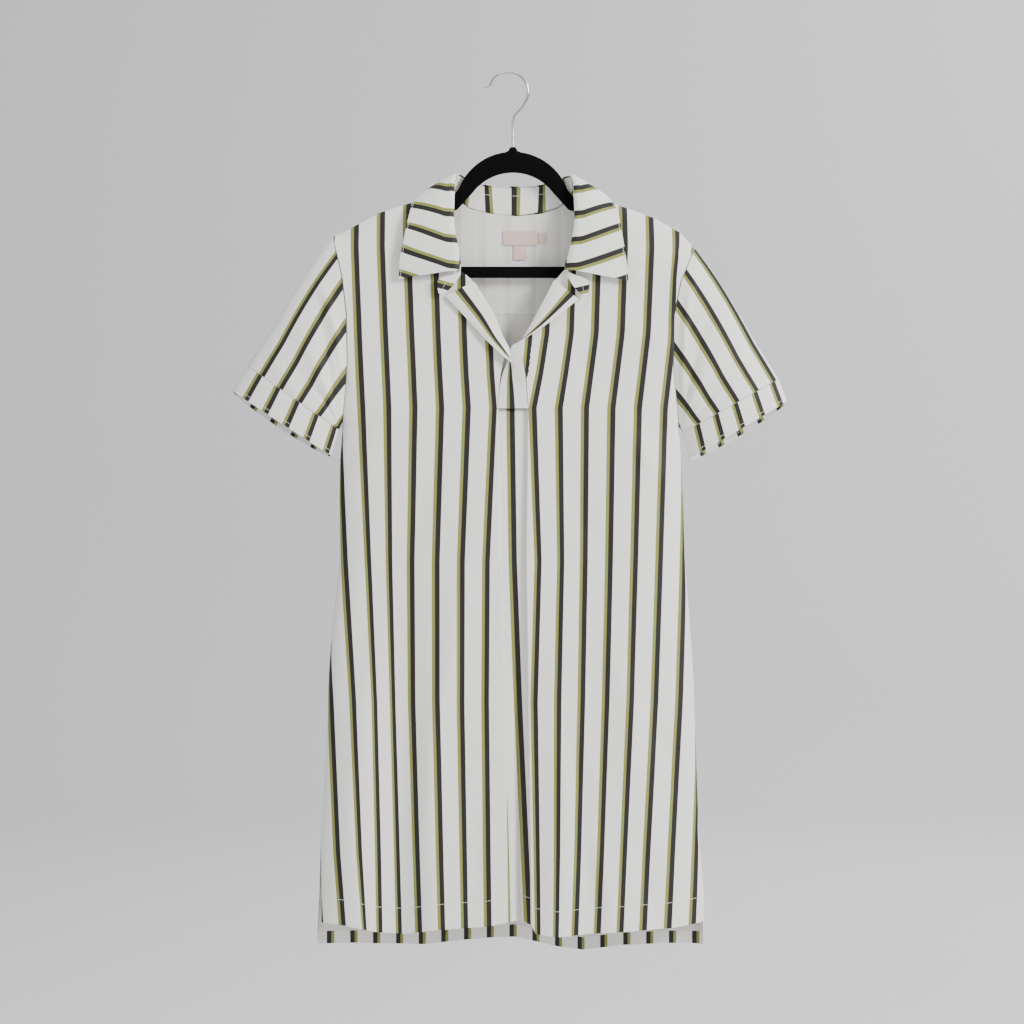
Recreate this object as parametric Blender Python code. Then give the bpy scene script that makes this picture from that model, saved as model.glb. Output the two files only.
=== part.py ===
"""A striped shirt dress on a slim hanger, each cut piece its own closed wall.

Sizes in the tables are millimetres, scaled to metres by MM. +X is to the right of someone facing
the dress, +Y away from them and +Z up. The origin is the inside top of the hook, where it hangs.
Each wall is a grid of points on its middle surface, given half its thickness each way.
"""
import math
from typing import NamedTuple

import bpy
import numpy as np

MM = 0.001
WALL = 1.5              # thickness of the cloth's wall
SEAM = 0.3              # gap between pieces at a seam
HALF = WALL / 2

# Body of the dress
NECK_X = (-68.0, 70.0)          # where the neck meets each shoulder line
SHOULDER_X = (-206.0, 208.0)    # top of each armhole
UNDERARM_Z = -406.0
YOKE_Z = -275.0                 # yoke seam across the back
PLACKET_END_Z = -386.0
SLIT_Z = -870.0                 # top of the side slits
ARMHOLE_DEPTH = 14.0
CREST_REACH = 90.0              # drop over which a shoulder reaches its full depth
EDGE_GAP = HALF + SEAM / 2      # flat edges of front and back lie this far from y = 0
CREST_GAP = 0.5                 # half the gap between front and yoke on the shoulders

# Grid sizes
ARM_SHARES = (0.0, 0.005, 0.018, 0.045, 0.1, 0.2, 0.35, 0.52, 0.69, 0.84, 0.93, 0.975, 1.0)
ARM_ROWS = len(ARM_SHARES) - 1
YOKE_SHARES = (0.0, 0.007, 0.03, 0.08, 0.18, 0.32, 0.52, 0.75, 1.0)
SKIRT_ROWS = 13
HALF_COLUMNS = 12
SLEEVE_ROWS = 6
CUFF_ROWS = 2

# Hanger
WIRE = 1.5                      # radius of the hook's wire
HOOK_RADIUS = 22.5
HOOK_CENTRE = (-5.0, -21.0)
HANGER_THICK = 4.6
ARM_TALL = 11.5
ARM_BELOW = 8.0                 # drop from the shoulder line to the top of the hanger
ARCH_RADIUS = 67.0
ARCH_INNER_RADIUS = 58.0
BAR_TOP = -222.0
BAR_BOTTOM = -235.0


class Side(NamedTuple):
    """Outline of the body at one height: its left and right edge."""
    z: float
    left: float
    right: float


class Depth(NamedTuple):
    """How far the front and the back lie from y = 0 at one height."""
    z: float
    front: float
    back: float


class Edge(NamedTuple):
    """One point of an edge seen from the front."""
    x: float
    z: float


class Fold(NamedTuple):
    """A long vertical fold: its place at top and hem, half width and height at the hem."""
    x_top: float
    x_hem: float
    z_top: float
    reach: float
    height: float


class Pleat(NamedTuple):
    """The box pleat at one height: fold edges, hidden widths and the recess's depth."""
    z: float
    left: float
    right: float
    hidden_left: float
    hidden_right: float
    recess: float


class Band(NamedTuple):
    """One section of a placket: seam, free edge, bulge, and how far each edge is lifted forward."""
    seam_x: float
    seam_z: float
    free_x: float
    free_z: float
    bulge: float
    seam_lift: float
    free_lift: float


class Collar(NamedTuple):
    """One section of the collar: neck seam, roll line and outer edge of the leaf."""
    seam: tuple
    roll: tuple
    edge: tuple


SIDES = [
    Side(-406, -195, 190), Side(-444, -198, 193), Side(-490, -199, 195), Side(-560, -199, 197),
    Side(-633, -207, 203), Side(-691, -211, 207), Side(-809, -216, 211), Side(-870, -220, 213),
    Side(-941, -222, 219), Side(-1015, -226, 220),
]
DEPTHS = [
    Depth(-130, 9, 12), Depth(-235, 14, 15), Depth(-386, 19, 17), Depth(-600, 23, 22),
    Depth(-1015, 30, 30),
]
HEM_FRONT = [
    Edge(-222, -978), Edge(-190, -980), Edge(-154, -988), Edge(-125, -990), Edge(-89, -984),
    Edge(-29, -981), Edge(-3, -975), Edge(23, -984), Edge(50, -992), Edge(98, -988),
    Edge(178, -984), Edge(222, -977),
]
HEM_BACK = [
    Edge(-226, -1002), Edge(-132, -1006), Edge(-105, -1007), Edge(-54, -1000), Edge(3, -996),
    Edge(54, -1010), Edge(82, -1014), Edge(130, -1006), Edge(217, -1002),
]
FRONT_FOLDS = [
    Fold(-120, -132, -430, 34, -13), Fold(-96, -96, -520, 20, 5), Fold(60, 52, -560, 24, 8),
    Fold(150, 120, -430, 30, 5), Fold(-176, -182, -600, 20, 4),
]
BACK_FOLDS = [
    Fold(-130, -118, -300, 26, 7), Fold(-60, -54, -290, 22, -5), Fold(-12, 3, -290, 24, -8),
    Fold(42, 74, -290, 30, 8), Fold(120, 140, -330, 26, -5), Fold(-176, -180, -420, 20, 4),
]
PLEATS = [
    Pleat(-386, -18, 18, 20, 20, 0.5), Pleat(-560, -14, 16, 16, 21, 4),
    Pleat(-760, -9, 19, 12, 22, 9), Pleat(-985, -3.5, 22, 8, 24, 15),
]
FRONT_LEFT_INNER = [
    Edge(-68, -136), Edge(-75, -160), Edge(-76, -190), Edge(-67, -221), Edge(-45, -240),
    Edge(-24, -276), Edge(-8, -318), Edge(-14, -345), Edge(-18, -386),
]
FRONT_RIGHT_INNER = [
    Edge(70, -136), Edge(77, -160), Edge(77, -190), Edge(66, -219), Edge(49, -238),
    Edge(27, -280), Edge(8, -312), Edge(15, -345), Edge(18, -386),
]
SHOULDERS = [
    Edge(-206, -188), Edge(-195, -183), Edge(-153, -160.5), Edge(-122, -150.5), Edge(-106, -146),
    Edge(-68, -136), Edge(70, -136), Edge(106, -146.5), Edge(130, -155), Edge(163, -167),
    Edge(193, -184), Edge(208, -202),
]
ARM_LEFT = [Edge(-206, -188), Edge(-195, -234), Edge(-190, -278), Edge(-189, -335),
            Edge(-195, -406)]
ARM_RIGHT = [Edge(208, -202), Edge(192, -239), Edge(184, -279), Edge(183, -337),
             Edge(190, -406)]
YOKE_COLUMNS = (
    -206, -190, -172, -154, -136, -118, -100, -84, -74, -68, -66, -62, -55, -46, -32, -14, 5, 22, 38,
    50, 58, 63, 67, 70, 76, 86, 102, 120, 138, 156, 174, 192, 208,
)
BACK_NECK = [
    Edge(-68, -136), Edge(-62, -147), Edge(-48, -155), Edge(-26, -160), Edge(5, -163),
    Edge(34, -160), Edge(50, -155), Edge(63, -147), Edge(70, -136),
]
PLACKET_LEFT = [
    Band(-43.5, -241, -82, -257, 2, 4.5, 4.5), Band(-22.5, -276, -58, -284, 2, 4, 4.5),
    Band(-12.5, -301, -40, -304, 3, 3, 6), Band(-7, -319, -21, -323, 3, 2, 12),
    Band(-8.5, -330, -8, -331, 1, 1.2, 15), Band(-13, -344, 4, -341, 0, 0.6, 11),
    Band(-15.4, -364, 13, -364, 0, 0.2, 4), Band(-17.4, -385.4, 18, -385.4, 0, 0, 2.6),
]
PLACKET_RIGHT = [
    Band(47.5, -239, 80, -261, 2, 4.5, 4.5), Band(26, -280, 43, -287, 3, 3.5, 9),
    Band(14, -301, 18, -304, 1, 2.2, 14), Band(7.4, -313, -2, -317, 0, 0.5, 6),
    Band(14, -344, -8, -344, 0, 0, -3.4), Band(15.6, -364, -17, -364, 0, 0, -3.4),
    Band(17.4, -385.4, -18, -385.4, 0, 0, -3.4),
]
COLLAR_BACK = Collar((0, 13.5, -161.6), (0, 11.5, -128.5), (0, 22, -172))
COLLAR_LEFT = [
    Collar((-26, 13.4, -158.6), (-28, 11, -127.5), (-38, 21.5, -170)),
    Collar((-47, 12.5, -153.6), (-44, 10, -123), (-74, 20, -161)),
    Collar((-60.5, 10, -145), (-56, 8, -118), (-93, 16, -150)),
    Collar((-68.5, 1, -131.5), (-63, -0.5, -116.5), (-108, 4, -140)),
    Collar((-67, -7.5, -139), (-66, -10, -126), (-114, -9, -149)),
    Collar((-71, -13.5, -158), (-67, -17, -146), (-119, -17, -166)),
    Collar((-72.5, -17, -188), (-67, -22, -176), (-124, -20.5, -190)),
    Collar((-67, -19.5, -213), (-62, -24, -203), (-129, -22, -216)),
    Collar((-60, -20.5, -228), (-61, -25, -220), (-131, -22, -238)),
]
COLLAR_RIGHT = [
    Collar((26, 13.4, -158.6), (28, 11, -127.5), (38, 21.5, -170)),
    Collar((48, 12.5, -153.6), (44, 10, -123.5), (72, 20, -160)),
    Collar((61.5, 10, -145), (57, 8, -119), (90, 16, -148)),
    Collar((70, 1, -131.5), (66, -0.5, -118), (103, 4, -139)),
    Collar((69, -7.5, -139), (69, -10, -126), (112, -9, -146)),
    Collar((73, -13.5, -158), (70, -17, -146), (120, -17, -162)),
    Collar((74, -17, -188), (70, -22, -176), (125, -20.5, -188)),
    Collar((68, -19.5, -212), (65, -24, -203), (129, -22, -214)),
    Collar((61, -20.5, -227), (60, -25, -219), (133, -22, -241)),
]
STAND_END_LEFT = [((-70, -21.5, -240), (-76, -21.5, -227)), ((-80, -21.5, -253), (-87, -21.5, -241))]
STAND_END_RIGHT = [((71, -21.5, -241), (76, -21.5, -227)), ((81, -21.5, -256), (88, -21.5, -242))]
LEAF_SPREAD = [(0.0, 0.0), (0.07, 2.6), (0.3, 3.2), (0.65, 2.0), (1.0, 0.0)]   # fraction, lift


def clear_scene():
    """Remove every object of the open file."""
    for item in list(bpy.data.objects):
        bpy.data.objects.remove(item, do_unlink=True)


def material(name, colour, roughness, metallic=0.0):
    """Return a Principled material of one colour."""
    made = bpy.data.materials.new(name)
    made.use_nodes = True
    shader = made.node_tree.nodes["Principled BSDF"]
    shader.inputs["Base Color"].default_value = (*colour, 1.0)
    shader.inputs["Roughness"].default_value = roughness
    shader.inputs["Metallic"].default_value = metallic
    return made


def add_mesh(name, vertices, faces, finish):
    """Make one object from points in millimetres."""
    mesh = bpy.data.meshes.new(name)
    mesh.from_pydata([tuple(MM * value for value in point) for point in vertices], [], faces)
    mesh.materials.append(finish)
    mesh.update()
    made = bpy.data.objects.new(name, mesh)
    bpy.context.scene.collection.objects.link(made)
    return made


def cell_normals(grid, wrap):
    """Unit normals at the grid's points from the cells around each."""
    rows, columns, _ = grid.shape
    normals = np.zeros_like(grid)
    for row in range(rows - 1):
        for column in range(columns if wrap else columns - 1):
            beside = (column + 1) % columns
            corner = grid[row, column]
            across = np.cross(grid[row + 1, beside] - corner, grid[row, beside] - grid[row + 1, column])
            size = np.linalg.norm(across)
            if size < 1e-9:
                continue
            for place in ((row, column), (row + 1, column), (row + 1, beside), (row, beside)):
                normals[place] += across / size
    lengths = np.linalg.norm(normals, axis=2, keepdims=True)
    return normals / np.maximum(lengths, 1e-9)


def wall(name, grid, finish, wrap=False, missing=None, thickness=WALL):
    """Make a closed wall about a grid of points; wrap joins its last column to its first."""
    grid = np.asarray(grid, dtype=float)
    rows, columns, _ = grid.shape
    missing = missing or set()
    normals = cell_normals(grid, wrap)
    cells = {
        (row, column)
        for row in range(rows - 1)
        for column in range(columns if wrap else columns - 1)
        if (row, column) not in missing
    }
    index = {}
    vertices = []

    def point(row, column, side):
        """Number of the point on one side of the wall."""
        key = (row, column % columns, side)
        if key not in index:
            index[key] = len(vertices)
            place = grid[row, column % columns]
            vertices.append(place + side * thickness / 2 * normals[row, column % columns])
        return index[key]

    faces = []
    for row, column in sorted(cells):
        ring = [(row, column), (row + 1, column), (row + 1, column + 1), (row, column + 1)]
        faces.append([point(*place, 1) for place in ring])
        faces.append([point(*place, -1) for place in reversed(ring)])
        before = (column - 1) % columns if wrap else column - 1
        after = (column + 1) % columns if wrap else column + 1
        beyond = [(row, before), (row + 1, column), (row, after), (row - 1, column)]
        for number, neighbour in enumerate(beyond):
            if neighbour in cells:
                continue
            start = ring[number]
            stop = ring[(number + 1) % 4]
            faces.append([point(*stop, 1), point(*start, 1), point(*start, -1), point(*stop, -1)])
    return add_mesh(name, vertices, faces, finish)


def along(table, fraction):
    """Point of an edge table at a fraction of its length."""
    xs = np.array([edge.x for edge in table], dtype=float)
    zs = np.array([edge.z for edge in table], dtype=float)
    run = np.concatenate([[0.0], np.cumsum(np.hypot(np.diff(xs), np.diff(zs)))])
    place = fraction * run[-1]
    return float(np.interp(place, run, xs)), float(np.interp(place, run, zs))


def at_height(table, z, name):
    """Value of a named column of a table at a height."""
    heights = [-row.z for row in table]
    return float(np.interp(-z, heights, [getattr(row, name) for row in table]))


def hem_height(table, x):
    """Height of a hem at a place across the body."""
    return float(np.interp(x, [edge.x for edge in table], [edge.z for edge in table]))


def crest(x):
    """Height of the shoulder line at a place across it."""
    return float(np.interp(x, [edge.x for edge in SHOULDERS], [edge.z for edge in SHOULDERS]))


def crest_share(drop):
    """Share of its full depth that cloth has reached some way below the shoulder line."""
    left = 1.0 - min(max(drop / CREST_REACH, 0.0), 1.0)
    return math.sqrt(1.0 - left ** 3)


def arm_depth(x, z):
    """Depth of the front and back where they meet the sleeve."""
    taper = math.sqrt(min(max((z - UNDERARM_Z) / 90.0, 0.0), 1.0))
    return EDGE_GAP + (ARMHOLE_DEPTH - EDGE_GAP) * crest_share(crest(x) - z) * taper


def fold_shape(folds, x, z):
    """Sum of a panel's long folds at a point, as a height out from the panel."""
    total = 0.0
    for fold in folds:
        share = min(max((fold.z_top - z) / (fold.z_top + 1000.0), 0.0), 1.0)
        middle = fold.x_top + share * (fold.x_hem - fold.x_top)
        total += fold.height * share ** 0.8 * math.exp(-((x - middle) / fold.reach) ** 2)
    return total


def body_depth(x, z, column, folds):
    """Distance of the front or the back from y = 0."""
    full = at_height(DEPTHS, z, column)
    if z > UNDERARM_Z:
        table = ARM_LEFT if x < 0 else ARM_RIGHT
        edge_x = at_height(table, z, "x")
        edge = arm_depth(edge_x, z)
        full *= crest_share(crest(x) - z)
    else:
        edge_x = at_height(SIDES, z, "left" if x < 0 else "right")
        edge = EDGE_GAP
    share = min(abs(x / edge_x), 1.0)
    lens = math.sqrt(max(1.0 - share ** 4, 0.0))
    return edge + (full - edge) * lens + lens * fold_shape(folds, x, z)


def half_front(inner, arm):
    """Rows of the front from shoulder to placket end, outer edge first."""
    rows = []
    for share in ARM_SHARES:
        outer_x, outer_z = along(arm, share)
        inner_x, inner_z = along(inner, share)
        points = []
        for column in range(HALF_COLUMNS + 1):
            part = column / HALF_COLUMNS
            x = outer_x + part * (inner_x - outer_x)
            z = outer_z + part * (inner_z - outer_z)
            start = arm[0].x + part * (inner[0].x - arm[0].x)
            z += (crest(start) - arm[0].z - part * (inner[0].z - arm[0].z)) * (1 - share) ** 2
            z = min(z, crest(x))
            y = -max(body_depth(x, z, "front", FRONT_FOLDS), CREST_GAP)
            points.append((x, y, z))
        rows.append(points)
    return rows


def pleat_points(z):
    """Points of the box pleat at one height, between its two fold edges."""
    left = at_height(PLEATS, z, "left")
    right = at_height(PLEATS, z, "right")
    y = -body_depth(0.0, z, "front", FRONT_FOLDS)
    hidden = (at_height(PLEATS, z, "hidden_left"), at_height(PLEATS, z, "hidden_right"))
    layer = 2.3
    deep = y + 2 * layer
    middle = (left + right) / 2
    points = [(left + 1.0, y + layer / 2), (left - 0.5, y + layer), (left - hidden[0], y + layer)]
    points += [(left - hidden[0] - 1.0, y + 1.5 * layer), (left - hidden[0], deep), (left, deep + 0.5)]
    points += [(middle, deep + at_height(PLEATS, z, "recess")), (right, deep + 0.5)]
    points += [(right + hidden[1], deep), (right + hidden[1] + 1.0, y + 1.5 * layer)]
    points += [(right + hidden[1], y + layer), (right + 0.5, y + layer), (right - 1.0, y + layer / 2)]
    return points


def skirt_row(share):
    """One row of the front below the placket, from side to side through the pleat."""
    points = []
    level = PLACKET_END_Z + share * (hem_height(HEM_FRONT, 0.0) - PLACKET_END_Z)
    pleat = (at_height(PLEATS, level, "left"), at_height(PLEATS, level, "right"))
    for side, table in enumerate((ARM_LEFT, ARM_RIGHT)):
        name = "left" if side == 0 else "right"
        top_z = table[-1].z
        hem_z = HEM_FRONT[0 if side == 0 else -1].z
        edge_z = top_z + share * (hem_z - top_z)
        edge_x = at_height(SIDES, edge_z, name)
        inset = 5.0 * min(max((SLIT_Z - edge_z) / 110.0, 0.0), 1.0)
        edge_x += inset if side == 0 else 0.0
        half = []
        for column in range(HALF_COLUMNS + 1):
            part = column / HALF_COLUMNS
            x = edge_x + part * (pleat[side] - edge_x)
            top = top_z + part * (PLACKET_END_Z - top_z)
            z = top + share * (hem_height(HEM_FRONT, x) - top)
            y = -body_depth(x, z, "front", FRONT_FOLDS)
            half.append((x, y, z))
        points.append(half)
    middle = [
        (x, y, PLACKET_END_Z - SEAM + share * (hem_height(HEM_FRONT, x) - PLACKET_END_Z))
        for x, y in pleat_points(level)
    ]
    return points[0] + middle + points[1][::-1]


def make_front(finish):
    """The front: one piece, slit for the placket and pleated below it."""
    left = half_front(FRONT_LEFT_INNER, ARM_LEFT)
    right = half_front(FRONT_RIGHT_INNER, ARM_RIGHT)
    lower = [skirt_row(row / SKIRT_ROWS) for row in range(SKIRT_ROWS + 1)]
    count = len(lower[0]) - 2 * (HALF_COLUMNS + 1)
    rows = []
    missing = set()
    for number in range(ARM_ROWS):
        rows.append(left[number] + lower[0][HALF_COLUMNS + 1:-HALF_COLUMNS - 1] + right[number][::-1])
        missing |= {(number, HALF_COLUMNS + step) for step in range(count + 1)}
    rows += lower
    return wall("front", masked_normals(rows), finish, missing=missing)


def masked_normals(rows):
    """Move the unused pleat points of the slit rows beside its edges, so that normals stay true."""
    grid = np.array(rows, dtype=float)
    for row in range(ARM_ROWS):
        first = grid[row, HALF_COLUMNS]
        second = grid[row, -HALF_COLUMNS - 1]
        step = first - grid[row, HALF_COLUMNS - 1]
        back = second - grid[row, -HALF_COLUMNS]
        count = grid.shape[1] - 2 * (HALF_COLUMNS + 1)
        for number in range(count):
            if number < count / 2:
                grid[row, HALF_COLUMNS + 1 + number] = first + 0.01 * (number + 1) * step
            else:
                grid[row, HALF_COLUMNS + 1 + number] = second + 0.01 * (count - number) * back
    return grid


def yoke_top(x):
    """Height of the yoke's upper edge: shoulder lines and the neck between them."""
    if x <= NECK_X[0] or x >= NECK_X[1]:
        return crest(x)
    return float(np.interp(x, [edge.x for edge in BACK_NECK], [edge.z for edge in BACK_NECK]))


def back_point(x, z):
    """Point of the back or the yoke."""
    return (x, max(body_depth(x, z, "back", BACK_FOLDS), CREST_GAP), z)


def make_yoke(finish):
    """The back yoke, from the shoulder lines and the neck to its seam."""
    share = (ARM_LEFT[0].z - YOKE_Z) / (ARM_LEFT[0].z - UNDERARM_Z)
    grid = []
    for down in YOKE_SHARES:
        left_x, left_z = along(ARM_LEFT, down * share)
        right_x, _ = along(ARM_RIGHT, down * share)
        points = []
        for top_x in YOKE_COLUMNS:
            part = (top_x - SHOULDER_X[0]) / (SHOULDER_X[1] - SHOULDER_X[0])
            x = left_x + part * (right_x - left_x)
            top = yoke_top(top_x)
            z = top + down * (YOKE_Z - top)
            points.append(back_point(x, min(z, yoke_top(x))))
        grid.append(points[::-1])
    return wall("back_yoke", grid, finish)


def make_back(finish):
    """The back below the yoke, longer than the front."""
    columns = 26
    rows = 17
    grid = []
    for row in range(rows + 1):
        down = row / rows
        points = []
        for column in range(columns + 1):
            part = column / columns
            level = YOKE_Z + down * (-1004.0 - YOKE_Z)
            if level > UNDERARM_Z:
                edges = (at_height(ARM_LEFT, level, "x") + 2 * SEAM,
                         at_height(ARM_RIGHT, level, "x") - 2 * SEAM)
            else:
                edges = (at_height(SIDES, level, "left"), at_height(SIDES, level, "right"))
            x = edges[0] + part * (edges[1] - edges[0])
            top = YOKE_Z - SEAM
            z = top + down * (hem_height(HEM_BACK, x) - top)
            spread = 4.0 * min(max((SLIT_Z - z) / 130.0, 0.0), 1.0)
            x_, y, z_ = back_point(x, z)
            points.append((x_, y + spread, z_))
        grid.append(points[::-1])
    return wall("back", grid, finish)


class Sleeve(NamedTuple):
    """A sleeve and cuff: the cuff's upper and lower corners, outer and inner."""
    name: str
    arm: list
    top_outer: Edge
    top_inner: Edge
    low_outer: Edge
    low_inner: Edge
    out: float


SLEEVES = [
    Sleeve("left", ARM_LEFT, Edge(-304, -336), Edge(-200, -409), Edge(-322, -365), Edge(-212, -437), -1.0),
    Sleeve("right", ARM_RIGHT, Edge(305, -351), Edge(196, -412), Edge(315, -377), Edge(204, -442), 1.0),
]
CUFF_OPEN = 21.0        # half the depth of a cuff's opening
CUFF_DROP = 8.0         # how much lower the back of a cuff hangs
AROUND = 2 * ARM_ROWS   # points around a sleeve


def ring_place(step):
    """Share of the way across a flat sleeve for one of its points, and whether it is in front."""
    if step <= ARM_ROWS:
        return ARM_SHARES[step], step > 0
    return ARM_SHARES[AROUND - step], False


def sleeve_ring(sleeve, down):
    """Points around a sleeve: 0 at the armhole, 1 at the cuff's seam."""
    ring = []
    for step in range(AROUND):
        share, front = ring_place(step)
        turn = math.acos(1.0 - 2.0 * share)
        arm_x, arm_z = along(sleeve.arm, share)
        depth = arm_depth(arm_x, arm_z)
        if step in (0, AROUND // 2):
            depth = 0.0
        end_x = sleeve.top_outer.x + share * (sleeve.top_inner.x - sleeve.top_outer.x)
        end_z = sleeve.top_outer.z + share * (sleeve.top_inner.z - sleeve.top_outer.z)
        end_z -= CUFF_DROP * abs(math.sin(turn)) if not front else 0.0
        end_depth = CUFF_OPEN * abs(math.sin(turn))
        x = arm_x + down * (end_x - arm_x) + sleeve.out * 1.2 * (1 - down)
        z = arm_z + down * (end_z - arm_z)
        z += 5.0 * math.sin(math.pi * min(down * 1.4, 1.0)) * (1 - share)
        swell = 3.0 * math.sin(math.pi * down) * abs(math.sin(turn))
        y = depth + down * (end_depth - depth) + swell
        ring.append((x, -y if front else y, z))
    return ring


def cuff_ring(sleeve, down):
    """Points around a cuff: 0 at its seam, 1 at its free edge."""
    ring = []
    for step in range(AROUND):
        share, front = ring_place(step)
        turn = math.acos(1.0 - 2.0 * share)
        top = [sleeve.top_outer, sleeve.top_inner]
        low = [sleeve.low_outer, sleeve.low_inner]
        outer_x = top[0].x + down * (low[0].x - top[0].x)
        outer_z = top[0].z + down * (low[0].z - top[0].z)
        inner_x = top[1].x + down * (low[1].x - top[1].x)
        inner_z = top[1].z + down * (low[1].z - top[1].z)
        x = outer_x + share * (inner_x - outer_x)
        z = outer_z + share * (inner_z - outer_z)
        z -= CUFF_DROP * abs(math.sin(turn)) if not front else 0.0
        y = CUFF_OPEN * abs(math.sin(turn))
        ring.append((x, -y if front else y, z))
    return ring


def make_sleeve(sleeve, finish):
    """A short sleeve from the armhole to the cuff's seam."""
    grid = [sleeve_ring(sleeve, row / SLEEVE_ROWS) for row in range(SLEEVE_ROWS + 1)]
    if sleeve.out > 0:
        grid = [row[::-1] for row in grid]
    return wall("sleeve_" + sleeve.name, grid, finish, wrap=True)


def make_cuff(sleeve, finish):
    """A cuff, sewn to the end of its sleeve."""
    length = math.hypot(sleeve.low_outer.x - sleeve.top_outer.x, sleeve.low_outer.z - sleeve.top_outer.z)
    start = (SEAM + 0.2) / length
    grid = [cuff_ring(sleeve, start + (1 - start) * row / CUFF_ROWS) for row in range(CUFF_ROWS + 1)]
    if sleeve.out > 0:
        grid = [row[::-1] for row in grid]
    return wall("cuff_" + sleeve.name, grid, finish, wrap=True)


def make_placket(name, table, finish):
    """A placket strip, from its seam to its free edge."""
    columns = 5
    grid = []
    for band in table:
        points = []
        for column in range(columns + 1):
            part = column / columns
            x = band.seam_x + part * (band.free_x - band.seam_x)
            z = band.seam_z + part * (band.free_z - band.seam_z)
            y = -body_depth(x, z, "front", FRONT_FOLDS)
            y -= band.seam_lift + part * (band.free_lift - band.seam_lift)
            points.append((x, y - band.bulge * math.sin(math.pi * part), z))
        grid.append(points)
    return wall(name, grid, finish)


def collar_sections():
    """Sections of the collar from the left front end round the neck to the right."""
    return COLLAR_LEFT[::-1] + [COLLAR_BACK] + COLLAR_RIGHT


def make_collar_stand(finish):
    """The stand: a band round the neck with an end past each side of the leaf."""
    grid = []
    ends_left = [[np.array(low, float), np.array(top, float)] for low, top in STAND_END_LEFT[::-1]]
    ends_right = [[np.array(low, float), np.array(top, float)] for low, top in STAND_END_RIGHT]
    middle = []
    for section in collar_sections():
        seam = np.array(section.seam, float)
        roll = np.array(section.roll, float)
        rise = (roll - seam) / np.linalg.norm(roll - seam)
        middle.append([seam, roll - 2.4 * rise])
    for low, top in ends_left + middle + ends_right:
        grid.append([low, (low + top) / 2, top])
    return wall("collar_stand", grid, finish)


def make_collar_leaf(finish):
    """The leaf: it falls from the roll line over the stand and the shoulders."""
    sections = collar_sections()
    rolls = np.array([section.roll for section in sections], float)
    tangents = np.gradient(rolls, axis=0)
    grid = []
    for section, tangent in zip(sections, tangents):
        roll = np.array(section.roll, float)
        edge = np.array(section.edge, float)
        out = np.cross(tangent, edge - roll)
        out /= np.linalg.norm(out)
        grid.append([roll + part * (edge - roll) + lift * out for part, lift in LEAF_SPREAD])
    return wall("collar_leaf", grid, finish)


def make_label(name, left, right, top, bottom, finish):
    """A bare woven label against the inside of the yoke."""
    inward = HALF + SEAM + 0.6
    grid = []
    for row in range(2):
        z = top + row * (bottom - top)
        points = []
        for column in range(4):
            x = left + column / 3 * (right - left)
            points.append((x, back_point(x, z)[1] - inward, z))
        grid.append(points)
    return wall(name, grid, finish, thickness=1.0)


def make_hook(finish):
    """The wire hook: round top, slanting neck and straight stem."""
    centre_x, centre_z = HOOK_CENTRE
    points = [(-33.5, -16.2), (-30.0, -15.6)]
    for step in range(17):
        turn = math.radians(166 - step * (166 + 30) / 16)
        points.append((centre_x + HOOK_RADIUS * math.cos(turn), centre_z + HOOK_RADIUS * math.sin(turn)))
    points += [(9.0, -41.5), (2.0, -48.5), (0.0, -53.0), (0.0, -84.0)]
    curve = bpy.data.curves.new("hanger_hook", "CURVE")
    curve.dimensions = "3D"
    curve.bevel_depth = WIRE * MM
    curve.bevel_resolution = 2
    curve.use_fill_caps = True
    spline = curve.splines.new("POLY")
    spline.points.add(len(points) - 1)
    for target, (x, z) in zip(spline.points, points):
        target.co = (x * MM, 0.0, z * MM, 1.0)
    curve.materials.append(finish)
    made = bpy.data.objects.new("hanger_hook", curve)
    bpy.context.scene.collection.objects.link(made)
    return made


def hanger_half():
    """Outer and inner outline of the hanger's right half, from the top to the bar."""
    outer = [(0.0, -84.6), (3.5, -84.6), (6.5, -89.5)]
    for step in range(5):
        turn = math.radians(74 - step * 13)
        outer.append((ARCH_RADIUS * math.cos(turn), -157 + ARCH_RADIUS * math.sin(turn)))
    outer.append((64.0, -142.0))
    inner = []
    for step in range(9):
        turn = math.radians(90 - step * 52 / 8)
        inner.append((ARCH_INNER_RADIUS * math.cos(turn), -172 + ARCH_INNER_RADIUS * math.sin(turn)))
    for step in range(6):
        x = 72 + step * (184 - 72) / 5
        top = crest(-x) - ARM_BELOW
        outer.append((x, top))
        inner.append((x - 8 - step, top - ARM_TALL))
    outer += [(188, -198), (188, -205), (182, -217), (170, -229), (156, BAR_BOTTOM)]
    inner += [(175, -203), (173, -208), (167, -215), (158, BAR_TOP + 1.2), (146, BAR_TOP)]
    return outer, inner


def make_hanger(finish):
    """The flat hanger: arch, shoulders and lower bar in one ring of equal thickness."""
    outer, inner = hanger_half()
    outer_ring = outer + [(-x, z) for x, z in outer[:0:-1]]
    inner_ring = inner + [(-x, z) for x, z in inner[:0:-1]]
    count = len(outer_ring)
    vertices = []
    for y in (-HANGER_THICK / 2, HANGER_THICK / 2):
        vertices += [(x, y, z) for x, z in outer_ring]
        vertices += [(x, y, z) for x, z in inner_ring]
    faces = []
    for number in range(count):
        after = (number + 1) % count
        faces.append((number, count + number, count + after, after))
        faces.append((2 * count + number, 2 * count + after, 3 * count + after, 3 * count + number))
        faces.append((number, after, 2 * count + after, 2 * count + number))
        faces.append((count + number, 3 * count + number, 3 * count + after, count + after))
    return add_mesh("hanger_body", vertices, faces, finish)


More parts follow.
